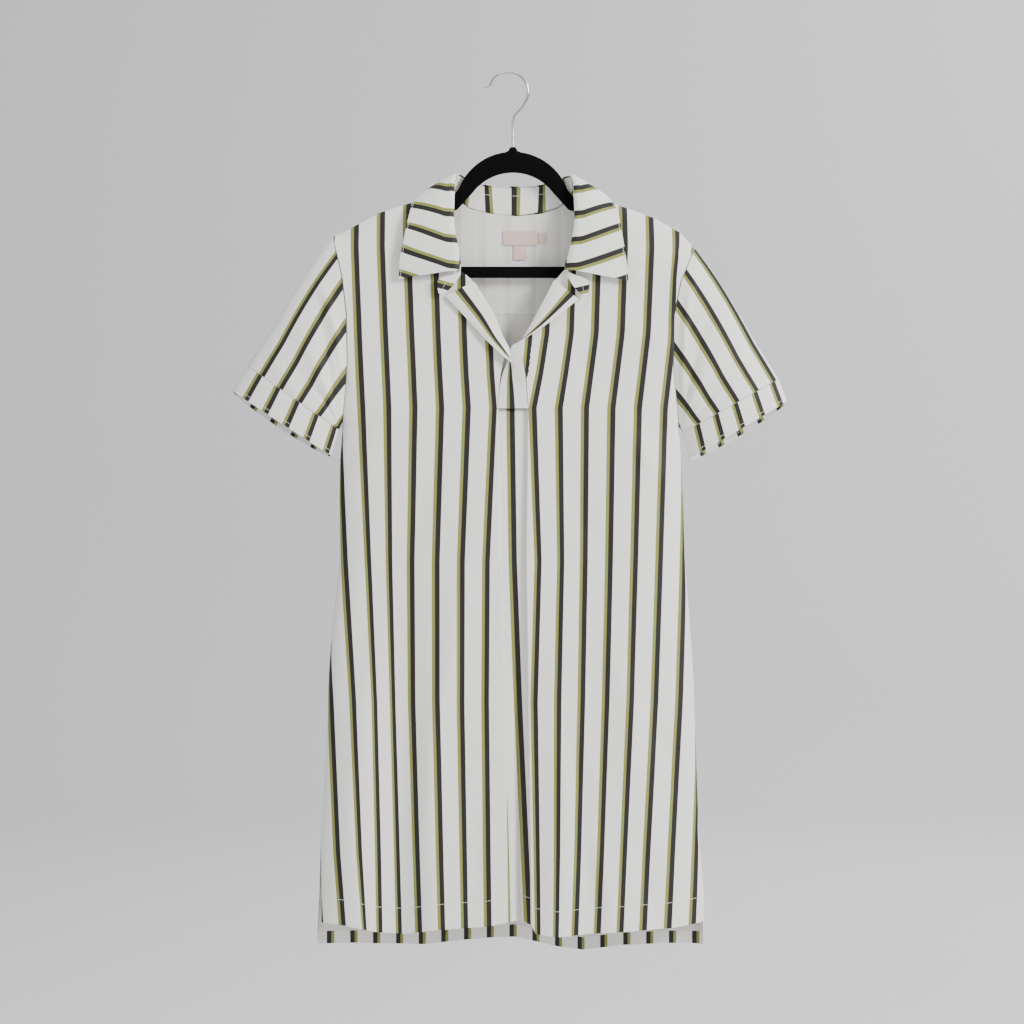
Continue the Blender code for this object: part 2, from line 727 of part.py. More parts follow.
def main():
    """Build the dress and its hanger."""
    clear_scene()
    cloth = material("striped cotton", (0.85, 0.85, 0.83), 0.7)
    ribbon = material("pale pink label", (0.86, 0.72, 0.68), 0.8)
    flock = material("black flock", (0.01, 0.01, 0.012), 0.95)
    chrome = material("chrome wire", (0.8, 0.8, 0.82), 0.15, 1.0)
    make_front(cloth)
    make_yoke(cloth)
    make_back(cloth)
    make_placket("placket_left", PLACKET_LEFT, cloth)
    make_placket("placket_right", PLACKET_RIGHT, cloth)
    make_collar_stand(cloth)
    make_collar_leaf(cloth)
    for sleeve in SLEEVES:
        make_sleeve(sleeve, cloth)
        make_cuff(sleeve, cloth)
    make_label("label_main", -11.0, 29.0, -180.0, -196.0, ribbon)
    make_label("label_size", 29.6, 38.0, -182.0, -193.0, ribbon)
    make_label("label_care", 1.0, 15.0, -196.6, -213.0, ribbon)
    make_hanger(flock)
    make_hook(chrome)


main()
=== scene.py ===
"""Striped shirt dress on a flocked hanger: cloth shells, trims, hanger and studio.

Tables are millimetres in the frame's own axes and are scaled to metres by MM.
"""
import logging
import math
from dataclasses import dataclass, field
from enum import Enum
from typing import NamedTuple, Optional, Sequence

import bmesh
import bpy
import numpy as np
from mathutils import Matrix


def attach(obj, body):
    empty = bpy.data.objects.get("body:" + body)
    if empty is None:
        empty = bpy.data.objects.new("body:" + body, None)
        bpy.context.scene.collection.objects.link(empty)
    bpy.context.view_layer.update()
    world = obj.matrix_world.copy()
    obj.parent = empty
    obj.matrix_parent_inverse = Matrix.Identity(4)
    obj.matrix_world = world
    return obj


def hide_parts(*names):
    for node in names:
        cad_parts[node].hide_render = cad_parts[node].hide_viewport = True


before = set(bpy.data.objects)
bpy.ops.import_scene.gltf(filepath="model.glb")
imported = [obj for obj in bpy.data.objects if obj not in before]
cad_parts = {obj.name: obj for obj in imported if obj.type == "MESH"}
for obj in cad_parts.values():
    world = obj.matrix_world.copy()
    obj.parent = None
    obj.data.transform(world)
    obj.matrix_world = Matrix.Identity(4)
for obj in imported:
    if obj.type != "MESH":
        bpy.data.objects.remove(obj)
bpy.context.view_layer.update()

LOG = logging.getLogger("shirt_dress")
MM = 0.001

SHELL = 0.9             # thickness of the cloth's shell
SEAM = 0.3
EDGE_GAP = 0.9          # flat edges of front and back lie this far from y = 0
CREST_GAP = 0.5

NECK_X = (-68.0, 70.0)
SHOULDER_X = (-206.0, 208.0)
UNDERARM_Z = -406.0
YOKE_Z = -275.0
PLACKET_END_Z = -386.0
SLIT_Z = -870.0
ARMHOLE_DEPTH = 14.0
CREST_REACH = 90.0

PITCH = 30.5            # one repeat of the stripes
OLIVE = 3.7             # width of the olive line
CHARCOAL = 6.0          # width of the charcoal line beside it
HEM_TURN = 29.0         # height of the hem's stitching over its edge
BACK_TURN = 15.5        # height of the print turned up inside the back's hem

ARM_SHARES = (0.0, 0.005, 0.018, 0.045, 0.1, 0.2, 0.35, 0.52, 0.69, 0.84, 0.93, 0.975, 1.0)
YOKE_SHARES = (0.0, 0.007, 0.03, 0.08, 0.18, 0.32, 0.52, 0.75, 1.0)
ARM_STEPS = 5           # fine rows for each step of ARM_SHARES
SKIRT_ROWS = 150
HALF_COLUMNS = 96
SLEEVE_ROWS = 44


class Side(NamedTuple):
    """Outline of the body at one height."""
    z: float
    left: float
    right: float


class Depth(NamedTuple):
    """How far the front and the back lie from y = 0 at one height."""
    z: float
    front: float
    back: float


class Edge(NamedTuple):
    """One point of an edge seen from the front."""
    x: float
    z: float


class Fold(NamedTuple):
    """A long fold: its place at top and hem, where it starts, half width and height."""
    x_top: float
    x_hem: float
    z_top: float
    reach: float
    height: float


class Crease(NamedTuple):
    """A short soft ridge or trough: centre, slope, half length, half width and height."""
    x: float
    z: float
    slope: float
    length: float
    width: float
    height: float


class Pleat(NamedTuple):
    """The box pleat at one height: fold edges, hidden widths and the recess's depth."""
    z: float
    left: float
    right: float
    hidden_left: float
    hidden_right: float
    recess: float


class StripeRow(NamedTuple):
    """Where five of the front's stripes and the pleat's own stripe start at one height."""
    z: float
    far_left: float
    outer_left: float
    inner_left: float
    pleat_left: float
    pleat_mid: float
    slit_right: float
    pleat_right: float
    inner_right: float
    outer_right: float


class Band(NamedTuple):
    """One section of a placket: seam, free edge, bulge, and how far each edge is lifted."""
    seam_x: float
    seam_z: float
    free_x: float
    free_z: float
    bulge: float
    seam_lift: float
    free_lift: float


class Collar(NamedTuple):
    """One section of the collar: neck seam, roll line and outer edge of the leaf."""
    seam: tuple[float, float, float]
    roll: tuple[float, float, float]
    edge: tuple[float, float, float]


class Held(Enum):
    """How a piece of cloth is held."""
    HUNG = "hung"
    FOLDED = "folded"
    LAID = "laid"


SIDES = [
    Side(-406, -195, 190), Side(-444, -198, 193), Side(-490, -199, 195), Side(-560, -199, 197),
    Side(-633, -207, 203), Side(-691, -211, 207), Side(-809, -216, 211), Side(-870, -220, 213),
    Side(-941, -222, 219), Side(-1015, -226, 220),
]
DEPTHS = [
    Depth(-130, 9, 12), Depth(-235, 14, 15), Depth(-386, 19, 17), Depth(-600, 23, 22),
    Depth(-1015, 30, 30),
]
HEM_FRONT = [
    Edge(-222, -974), Edge(-190, -976), Edge(-154, -984), Edge(-125, -986), Edge(-89, -980),
    Edge(-29, -976), Edge(-3, -971), Edge(20, -971), Edge(26, -984), Edge(50, -987), Edge(98, -983),
    Edge(178, -979), Edge(222, -973),
]
HEM_BACK = [
    Edge(-226, -1002), Edge(-132, -1006), Edge(-105, -1007), Edge(-54, -1000), Edge(3, -996),
    Edge(54, -1010), Edge(82, -1014), Edge(130, -1006), Edge(217, -1002),
]
FRONT_FOLDS = [
    Fold(-120, -132, -430, 34, -13), Fold(-96, -96, -520, 20, 5), Fold(60, 52, -560, 24, 8),
    Fold(150, 120, -430, 30, 5), Fold(-176, -182, -600, 20, 4),
]
BACK_FOLDS = [
    Fold(-130, -118, -300, 26, 7), Fold(-60, -54, -290, 22, -5), Fold(-12, 3, -290, 24, -8),
    Fold(42, 74, -290, 30, 8), Fold(120, 140, -330, 26, -5), Fold(-176, -180, -420, 20, 4),
]
FRONT_CREASES = [
    Crease(-150, -300, 0.5, 50, 11, 1.6), Crease(-120, -352, 0.9, 60, 13, -1.8),
    Crease(-165, -430, 1.6, 70, 12, 2.0), Crease(-95, -470, 2.6, 90, 14, -1.6),
    Crease(-60, -620, 5.0, 140, 16, 1.8), Crease(-170, -640, 4.0, 120, 14, -2.2),
    Crease(-95, -800, 6.0, 160, 15, 2.4), Crease(-190, -850, 6.0, 100, 11, 2.0),
    Crease(-45, -900, 8.0, 90, 12, -1.8), Crease(150, -300, -0.6, 55, 12, 1.8),
    Crease(115, -365, -1.0, 60, 13, -1.6), Crease(160, -450, -1.8, 70, 12, 2.2),
    Crease(85, -520, -3.5, 100, 14, -1.8), Crease(120, -690, -5.0, 150, 15, 2.2),
    Crease(70, -790, -7.0, 120, 12, -2.2), Crease(175, -780, -5.0, 110, 13, -2.0),
    Crease(100, -910, -8.0, 90, 12, 2.4), Crease(155, -930, -8.0, 80, 12, -1.8),
    Crease(-135, -215, 0.2, 36, 9, -1.0), Crease(140, -225, -0.25, 38, 9, -1.2),
]
BACK_CREASES = [
    Crease(-140, -360, 0.8, 60, 13, 1.8), Crease(130, -350, -0.9, 60, 12, -1.8),
    Crease(-80, -520, 3.0, 110, 14, -2.0), Crease(70, -560, -3.5, 120, 15, 2.2),
    Crease(-150, -690, 5.0, 130, 13, 2.0), Crease(140, -720, -5.0, 130, 14, -2.2),
    Crease(-20, -760, 8.0, 150, 14, 2.2), Crease(90, -880, -8.0, 100, 12, 2.0),
    Crease(-100, -900, 8.0, 90, 12, -2.0), Crease(0, -430, 9.0, 120, 12, -1.6),
    Crease(-35, -320, 9.0, 40, 6, 1.4), Crease(-18, -325, 9.0, 45, 6, -1.4),
    Crease(0, -318, 9.0, 40, 6, 1.5), Crease(17, -325, -9.0, 45, 6, -1.4), Crease(33, -320, -9.0, 40, 6, 1.3),
]
PLEATS = [
    Pleat(-386, -18, 18, 20, 20, 0.5), Pleat(-560, -14, 16, 16, 21, 4),
    Pleat(-760, -9, 19, 12, 22, 9), Pleat(-985, -3.5, 22, 8, 24, 15),
]
STRIPE_ROWS = [
    StripeRow(-150, -214, -186, -126, -35, -8, 14, 38, 91, 182),
    StripeRow(-200, -213, -186, -126, -34, -8, 14, 37, 92, 183),
    StripeRow(-300, -210, -182, -122, -32, -8, 15, 33, 89, 178),
    StripeRow(-345, -208, -180, -120, -30, -8, 10.5, 26, 83, 173),
    StripeRow(-385, -206, -178, -118.4, -27, -7.5, -5, 17.8, 77.6, 168.4),
    StripeRow(-560, -197.7, -169.5, -121.3, -35, -5, -3, 24.7, 76.4, 162.6),
    StripeRow(-720, -187, -161.5, -120, -36, 1, -6, 20, 73.6, 157),
    StripeRow(-893, -178.7, -157.5, -114.4, -34, 9, -5, 23.6, 69.5, 147.7),
    StripeRow(-990, -171, -156, -111, -32.8, 13.8, -5, 25.3, 66, 143),
]
LEFT_STRIPES = {"far_left": -3, "outer_left": -2, "inner_left": 0, "pleat_left": 3}
RIGHT_STRIPES = {"slit_right": 6, "pleat_right": 7, "inner_right": 9, "outer_right": 12}
SIDE_STRETCH = (1.15, 1.07)     # how much closer the stripes lie beyond the outermost ones
SLIT_STRETCH = 1.1              # and between the last one and the pleat
PLEAT_STRIPE = 5
FRONT_LEFT_INNER = [
    Edge(-68, -136), Edge(-75, -160), Edge(-76, -190), Edge(-67, -221), Edge(-45, -240),
    Edge(-24, -276), Edge(-8, -318), Edge(-14, -345), Edge(-18, -386),
]
FRONT_RIGHT_INNER = [
    Edge(70, -136), Edge(77, -160), Edge(77, -190), Edge(66, -219), Edge(49, -238),
    Edge(27, -280), Edge(8, -312), Edge(15, -345), Edge(18, -386),
]
SHOULDERS = [
    Edge(-206, -188), Edge(-195, -183), Edge(-153, -160.5), Edge(-122, -150.5), Edge(-106, -146),
    Edge(-68, -136), Edge(70, -136), Edge(106, -146.5), Edge(130, -155), Edge(163, -167),
    Edge(193, -184), Edge(208, -202),
]
ARM_LEFT = [Edge(-206, -188), Edge(-195, -234), Edge(-190, -278), Edge(-189, -335),
            Edge(-195, -406)]
ARM_RIGHT = [Edge(208, -202), Edge(192, -239), Edge(184, -279), Edge(183, -337),
             Edge(190, -406)]
YOKE_COLUMNS = (
    -206, -190, -172, -154, -136, -118, -100, -84, -74, -68, -66, -62, -55, -46, -32, -14, 5, 22, 38,
    50, 58, 63, 67, 70, 76, 86, 102, 120, 138, 156, 174, 192, 208,
)
BACK_NECK = [
    Edge(-68, -136), Edge(-62, -147), Edge(-48, -155), Edge(-26, -160), Edge(5, -163),
    Edge(34, -160), Edge(50, -155), Edge(63, -147), Edge(70, -136),
]
PLACKET_LEFT = [
    Band(-44, -241, -77, -257, 2, 4.5, 4.5), Band(-22.5, -276, -51, -285, 2, 4, 4.5),
    Band(-12.5, -301, -32, -306, 2.5, 3, 6), Band(-4.5, -317, -16, -322, 1.5, 3, 8),
    Band(-3.5, -326, -5, -331, 0.6, 3, 8.5), Band(-8, -337, 3.6, -337, 0.3, 1.6, 7.5),
    Band(-12.4, -350, 9, -350, 0, 0.7, 5), Band(-15, -364, 13.5, -364, 0, 0.2, 2.6),
    Band(-17.6, -385.6, 18.2, -385.6, 0, -0.5, 0.5),
]
PLACKET_RIGHT = [
    Band(47.5, -239, 75, -261, 2, 4.5, 4.5), Band(26, -280, 41, -288, 2.5, 3.5, 6),
    Band(14, -301, 17, -304, 0.8, 2.2, 5), Band(9.6, -309, 6, -310.5, 0, 0.4, 1),
    Band(9.6, -316, -2, -316, 0, 0, -2.4), Band(13.4, -344, -8, -344, 0, 0, -3.4),
    Band(15.6, -364, -17, -364, 0, 0, -3.4), Band(17.4, -385.4, -18, -385.4, 0, 0, -3.4),
]
COLLAR_BACK = Collar((0, 13.5, -161.6), (0, 11.5, -128.5), (0, 22, -172))
COLLAR_LEFT = [
    Collar((-26, 13.4, -158.6), (-28, 11, -127.5), (-38, 21.5, -170)),
    Collar((-47, 12.5, -153.6), (-44, 10, -123), (-74, 20, -161)),
    Collar((-60.5, 10, -145), (-56, 8, -118), (-93, 16, -150)),
    Collar((-68.5, 1, -131.5), (-63, -0.5, -116.5), (-108, 4, -140)),
    Collar((-67, -7.5, -139), (-66, -10, -126), (-114, -9, -149)),
    Collar((-71, -13.5, -158), (-67, -17, -146), (-119, -17, -166)),
    Collar((-72.5, -17, -188), (-67, -22, -176), (-124, -20.5, -190)),
    Collar((-67, -19.5, -213), (-62, -24, -203), (-129, -22, -216)),
    Collar((-60, -20.5, -231), (-61, -25.5, -228), (-130, -22, -238)),
]
COLLAR_RIGHT = [
    Collar((26, 13.4, -158.6), (28, 11, -127.5), (38, 21.5, -170)),
    Collar((48, 12.5, -153.6), (44, 10, -123.5), (72, 20, -160)),
    Collar((61.5, 10, -145), (57, 8, -119), (90, 16, -148)),
    Collar((70, 1, -131.5), (66, -0.5, -118), (103, 4, -139)),
    Collar((69, -7.5, -139), (69, -10, -126), (112, -9, -146)),
    Collar((73, -13.5, -158), (70, -17, -146), (120, -17, -162)),
    Collar((74, -17, -188), (70, -22, -176), (125, -20.5, -188)),
    Collar((68, -19.5, -212), (65, -24, -203), (129, -22, -214)),
    Collar((61, -20.5, -230), (60, -25.5, -227), (132, -22, -240)),
]
STAND_END_LEFT = [((-66, -22.5, -243), (-84, -22.5, -238)), ((-74, -23, -257), (-90, -23, -253))]
STAND_END_RIGHT = [((67, -22.5, -243), (85, -22.5, -239)), ((75, -23, -260), (91, -23, -255))]
LEAF_SPREAD = [(0.0, 0.0), (0.07, 2.6), (0.3, 3.2), (0.65, 2.0), (1.0, 0.0)]


# ---------------------------------------------------------------- shape of the dress

def along(table: Sequence[Edge], share: float) -> tuple[float, float]:
    """Point of an edge table at a share of its length.

    Args:
        table: the edge's points.
        share: 0 at its first point, 1 at its last.

    Returns:
        The point's x and z.
    """
    xs = np.array([edge.x for edge in table], dtype=float)
    zs = np.array([edge.z for edge in table], dtype=float)
    run = np.concatenate([[0.0], np.cumsum(np.hypot(np.diff(xs), np.diff(zs)))])
    place = share * run[-1]
    return float(np.interp(place, run, xs)), float(np.interp(place, run, zs))


def at_height(table: Sequence[NamedTuple], z: float, name: str) -> float:
    """Value of a table's named column at a height."""
    return float(np.interp(-z, [-row.z for row in table], [getattr(row, name) for row in table]))


def hem_height(table: Sequence[Edge], x: float) -> float:
    """Height of a hem at a place across the body."""
    return float(np.interp(x, [edge.x for edge in table], [edge.z for edge in table]))


def crest(x: float) -> float:
    """Height of the shoulder line at a place across it."""
    return float(np.interp(x, [edge.x for edge in SHOULDERS], [edge.z for edge in SHOULDERS]))


def crest_share(drop: float) -> float:
    """Share of its full depth that cloth has reached some way below the shoulder line."""
    left = 1.0 - min(max(drop / CREST_REACH, 0.0), 1.0)
    return math.sqrt(1.0 - left ** 3)


def arm_depth(x: float, z: float) -> float:
    """Depth of the front and back where they meet the sleeve."""
    taper = math.sqrt(min(max((z - UNDERARM_Z) / 90.0, 0.0), 1.0))
    return EDGE_GAP + (ARMHOLE_DEPTH - EDGE_GAP) * crest_share(crest(x) - z) * taper


def fold_shape(folds: Sequence[Fold], creases: Sequence[Crease], x: float, z: float) -> float:
    """Height of a panel's folds and creases at a point, out from the panel."""
    total = 0.0
    for fold in folds:
        share = min(max((fold.z_top - z) / (fold.z_top + 1000.0), 0.0), 1.0)
        if share > 0.0:
            middle = fold.x_top + share * (fold.x_hem - fold.x_top)
            total += fold.height * share ** 0.8 * math.exp(-((x - middle) / fold.reach) ** 2)
    for crease in creases:
        size = math.hypot(1.0, crease.slope)
        run = ((x - crease.x) + crease.slope * (z - crease.z)) / size
        off = (crease.slope * (x - crease.x) - (z - crease.z)) / size
        if abs(run) < 2.5 * crease.length and abs(off) < 3.5 * crease.width:
            bend = off + 4.0 * math.sin(run / 23.0)
            total += crease.height * math.exp(-(run / crease.length) ** 2 - (bend / crease.width) ** 2)
    return total


def body_depth(x: float, z: float, column: str) -> float:
    """Distance of the front or the back from y = 0."""
    folds, creases = (FRONT_FOLDS, FRONT_CREASES) if column == "front" else (BACK_FOLDS, BACK_CREASES)
    full = at_height(DEPTHS, z, column)
    if z > UNDERARM_Z:
        edge_x = at_height(ARM_LEFT if x < 0 else ARM_RIGHT, z, "x")
        edge = arm_depth(edge_x, z)
        full *= crest_share(crest(x) - z)
    else:
        edge_x = at_height(SIDES, z, "left" if x < 0 else "right")
        edge = EDGE_GAP
    share = min(abs(x / edge_x), 1.0)
    lens = math.sqrt(max(1.0 - share ** 4, 0.0))
    return edge + (full - edge) * lens + lens * fold_shape(folds, creases, x, z)


def front_stripe(x: float, z: float) -> float:
    """Cloth coordinate across the front, in mm, that lies at a point.

    Args:
        x: place across the front.
        z: height.

    Returns:
        Distance across the cloth, where whole repeats start a stripe.
    """
    middle = (at_height(PLEATS, z, "left") + at_height(PLEATS, z, "right")) / 2
    numbers = LEFT_STRIPES if x < middle else RIGHT_STRIPES
    places = [at_height(STRIPE_ROWS, z, name) for name in numbers]
    cloth = [PITCH * number for number in numbers.values()]
    if x < middle:
        if x > places[-1]:
            return cloth[-1] + (x - places[-1]) * SLIT_STRETCH
        if x < places[0]:
            return cloth[0] + (x - places[0]) * SIDE_STRETCH[0]
        return float(np.interp(x, places, cloth))
    if x > places[-1]:
        return cloth[-1] + (x - places[-1]) * SIDE_STRETCH[1]
    slit, stripe = places[0], cloth[0]
    places[:1] = [slit - 20.0, slit, slit + 8.4, places[1] - 4.0]
    cloth[:1] = [stripe - 20.0, stripe, stripe + OLIVE + CHARCOAL, cloth[1] - 4.9]
    return float(np.interp(x, places, cloth))


def fine(values: Sequence[float], steps: int) -> list[float]:
    """Values of a list with more between them, evenly spaced."""
    places = np.linspace(0, len(values) - 1, (len(values) - 1) * steps + 1)
    return [float(v) for v in np.interp(places, range(len(values)), values)]


def unstretched(points: Sequence, cloth: Sequence, start: int, turned: np.ndarray) -> np.ndarray:
    """Cloth places along a row, moved so that no cloth is stretched where the row turns away.

    Args:
        points: the row's points.
        cloth: their cloth places.
        start: the column that keeps its place.
        turned: whether each column lies where the row turns.

    Returns:
        The cloth places.
    """
    made = np.array(cloth, dtype=float)
    runs = np.linalg.norm(np.diff(np.array(points, dtype=float), axis=0), axis=1)
    steps = np.diff(made[:, 0])
    longer = np.sign(steps) * np.maximum(np.abs(steps), runs)
    steps = np.where(turned[:-1] | turned[1:], longer, steps)
    places = np.concatenate([[0.0], np.cumsum(steps)])
    made[:, 0] += places - places[start] + made[start, 0] - made[:, 0]
    return made


def outer_columns(count: int) -> np.ndarray:
    """Which columns of a panel's row lie beside its side seams."""
    share = np.linspace(0.0, 1.0, count)
    return np.abs(share - 0.5) > 0.44


def smooth_path(points: np.ndarray, steps: int) -> np.ndarray:
    """Points of a smooth curve through given ones.

    Args:
        points: array whose first axis runs along the curve.
        steps: fine points for each given one.

    Returns:
        Array of the same shape but a longer first axis.
    """
    padded = np.concatenate([[2 * points[0] - points[1]], points, [2 * points[-1] - points[-2]]])
    made = []
    for number in range(len(points) - 1):
        before, start, stop, after = padded[number:number + 4]
        for step in range(steps):
            t = step / steps
            made.append(0.5 * (2 * start + (stop - before) * t
                               + (2 * before - 5 * start + 4 * stop - after) * t * t
                               + (3 * start - before - 3 * stop + after) * t ** 3))
    made.append(points[-1])
    return np.array(made)


# ---------------------------------------------------------------- materials

def linear(code: str) -> tuple[float, float, float, float]:
    """Linear colour of an sRGB hex value."""
    parts = [int(code[place:place + 2], 16) / 255 for place in (1, 3, 5)]
    return tuple(p / 12.92 if p <= 0.04045 else ((p + 0.055) / 1.055) ** 2.4 for p in parts) + (1.0,)


def add_node(tree: bpy.types.NodeTree, kind: str, settings: Optional[dict] = None,
             links: Optional[dict] = None) -> bpy.types.Node:
    """Add a node with its settings and links.

    Args:
        tree: node tree.
        kind: the node's type name.
        settings: property names, or input names and numbers, and their values.
        links: input name or number to output socket.

    Returns:
        The node.
    """
    node = tree.nodes.new(kind)
    for name, value in (settings or {}).items():
        if isinstance(name, str) and hasattr(node, name):
            setattr(node, name, value)
        else:
            node.inputs[name].default_value = value
    for name, socket in (links or {}).items():
        tree.links.new(socket, node.inputs[name])
    return node


def ramp(tree: bpy.types.NodeTree, fac: bpy.types.NodeSocket,
         stops: Sequence[tuple[float, tuple]]) -> bpy.types.NodeSocket:
    """Colour ramp with the given stops.

    Args:
        tree: node tree.
        fac: socket that drives it.
        stops: place and linear colour of each stop.

    Returns:
        Its colour socket.
    """
    node = add_node(tree, "ShaderNodeValToRGB", {}, {"Fac": fac})
    elements = node.color_ramp.elements
    while len(elements) > 1:
        elements.remove(elements[-1])
    elements[0].position, elements[0].color = stops[0]
    for place, colour in stops[1:]:
        elements.new(place).color = colour
    return node.outputs["Color"]


@dataclass(frozen=True)
class StripedTwill:
    """Cotton twill with narrow olive and charcoal stripes: smooth, with a faint satin sheen."""
    name: str
    ground: str = "#EFEEE9"
    olive: str = "#878A45"
    charcoal: str = "#1F1B1A"
    thread: str = "#D9D8D2"
    stitches: tuple[float, ...] = ()
    roughness: float = 0.62
    wrong_side: bool = False

    def build(self) -> bpy.types.Material:
        """Make the material.

        Returns:
            The material, which reads the piece's UV map in metres.
        """
        made = bpy.data.materials.new(self.name)
        made.use_nodes = True
        tree = made.node_tree
        shader = tree.nodes["Principled BSDF"]
        place = add_node(tree, "ShaderNodeUVMap", {"uv_map": "cloth"}).outputs["UV"]
        split = add_node(tree, "ShaderNodeSeparateXYZ", {}, {0: place})
        waver = add_node(tree, "ShaderNodeTexNoise", {"Scale": 900.0, "Detail": 1.0}, {"Vector": place})
        shake = add_node(tree, "ShaderNodeMath", {"operation": "MULTIPLY_ADD", 1: 0.0004, 2: -0.0002},
                         {0: waver.outputs["Fac"]})
        moved = add_node(tree, "ShaderNodeMath", {"operation": "ADD"},
                         {0: split.outputs["X"], 1: shake.outputs[0]})
        repeat = add_node(tree, "ShaderNodeMath", {"operation": "DIVIDE", 1: PITCH * MM},
                          {0: moved.outputs[0]})
        part = add_node(tree, "ShaderNodeMath", {"operation": "FRACT"}, {0: repeat.outputs[0]})
        first, second = OLIVE / PITCH, (OLIVE + CHARCOAL) / PITCH
        soft = 0.007
        ground, olive, charcoal = (linear(code) for code in (self.ground, self.olive, self.charcoal))
        colour = ramp(tree, part.outputs[0], [
            (0.0, olive), (first - soft, olive), (first + soft, charcoal), (second - soft, charcoal),
            (second + soft, ground), (1.0 - soft, ground), (1.0, olive),
        ])
        twill = add_node(tree, "ShaderNodeMapping", {}, {"Vector": place})
        twill.inputs["Rotation"].default_value[2] = math.radians(52)
        wave = add_node(tree, "ShaderNodeTexWave", {"Scale": 210.0, "Distortion": 0.6, "Detail": 1.0},
                        {"Vector": twill.outputs[0]})
        mottle = add_node(tree, "ShaderNodeTexNoise", {"Scale": 60.0, "Detail": 3.0}, {"Vector": place})
        shade = ramp(tree, wave.outputs["Fac"], [(0.0, (0.93, 0.93, 0.93, 1)), (1.0, (1, 1, 1, 1))])
        woven = add_node(tree, "ShaderNodeMix", {"data_type": "RGBA", "blend_type": "MULTIPLY", 0: 0.8},
                         {6: colour, 7: shade}).outputs[2]
        bump_in = wave.outputs["Fac"]
        for distance in self.stitches:
            woven = self.stitched(tree, split, woven, distance)
        fine_bump = add_node(tree, "ShaderNodeBump", {"Strength": 0.25, "Distance": 0.0002},
                             {"Height": bump_in})
        soft_bump = add_node(tree, "ShaderNodeBump", {"Strength": 0.35, "Distance": 0.0012},
                             {"Height": mottle.outputs["Fac"], "Normal": fine_bump.outputs[0]})
        tree.links.new(woven, shader.inputs["Base Color"])
        tree.links.new(soft_bump.outputs[0], shader.inputs["Normal"])
        shader.inputs["Roughness"].default_value = self.roughness
        shader.inputs["Sheen Weight"].default_value = 0.03
        shader.inputs["Sheen Roughness"].default_value = 0.4
        shader.inputs["Specular IOR Level"].default_value = 0.35
        return made

    def stitched(self, tree: bpy.types.NodeTree, split: bpy.types.Node, colour: bpy.types.NodeSocket,
                 distance: float) -> bpy.types.NodeSocket:
        """Draw a row of stitches a distance from the piece's edge, in mm.

        Args:
            tree: node tree.
            split: the UV map's parts.
            colour: colour under the stitches.
            distance: the row's distance along the second UV axis.

        Returns:
            The stitched colour.
        """
        near = add_node(tree, "ShaderNodeMath", {"operation": "COMPARE", 1: distance * MM, 2: 0.00028},
                        {0: split.outputs["Y"]})
        count = add_node(tree, "ShaderNodeMath", {"operation": "MULTIPLY", 1: 330.0},
                         {0: split.outputs["X"]})
        dash = add_node(tree, "ShaderNodeMath", {"operation": "FRACT"}, {0: count.outputs[0]})
        there = add_node(tree, "ShaderNodeMath", {"operation": "LESS_THAN", 1: 0.7}, {0: dash.outputs[0]})
        mask = add_node(tree, "ShaderNodeMath", {"operation": "MULTIPLY"},
                        {0: near.outputs[0], 1: there.outputs[0]})
        return add_node(tree, "ShaderNodeMix", {"data_type": "RGBA", 7: linear(self.thread)},
                        {0: mask.outputs[0], 6: colour}).outputs[2]


@dataclass(frozen=True)
class PlainFinish:
    """A finish of one colour with a fine grain, such as flock, ribbon or chromed wire."""
    name: str
    colour: str
    roughness: float
    metallic: float = 0.0
    sheen: float = 0.0
    specular: float = 0.5
    grain: float = 0.0
    grain_scale: float = 2000.0

    def build(self) -> bpy.types.Material:
        """Make the material."""
        made = bpy.data.materials.new(self.name)
        made.use_nodes = True
        tree = made.node_tree
        shader = tree.nodes["Principled BSDF"]
        place = add_node(tree, "ShaderNodeTexCoord").outputs["Object"]
        noise = add_node(tree, "ShaderNodeTexNoise", {"Scale": self.grain_scale, "Detail": 3.0},
                         {"Vector": place})
        base = linear(self.colour)
        dark = tuple(value * 0.8 for value in base[:3]) + (1.0,)
        tree.links.new(ramp(tree, noise.outputs["Fac"], [(0.3, dark), (0.7, base)]),
                       shader.inputs["Base Color"])
        if self.grain:
            bump = add_node(tree, "ShaderNodeBump", {"Strength": self.grain, "Distance": 0.0004},
                            {"Height": noise.outputs["Fac"]})
            tree.links.new(bump.outputs[0], shader.inputs["Normal"])
        shader.inputs["Roughness"].default_value = self.roughness
        shader.inputs["Metallic"].default_value = self.metallic
        shader.inputs["Sheen Weight"].default_value = self.sheen
        shader.inputs["Specular IOR Level"].default_value = self.specular
        return made


# ---------------------------------------------------------------- cloth shells

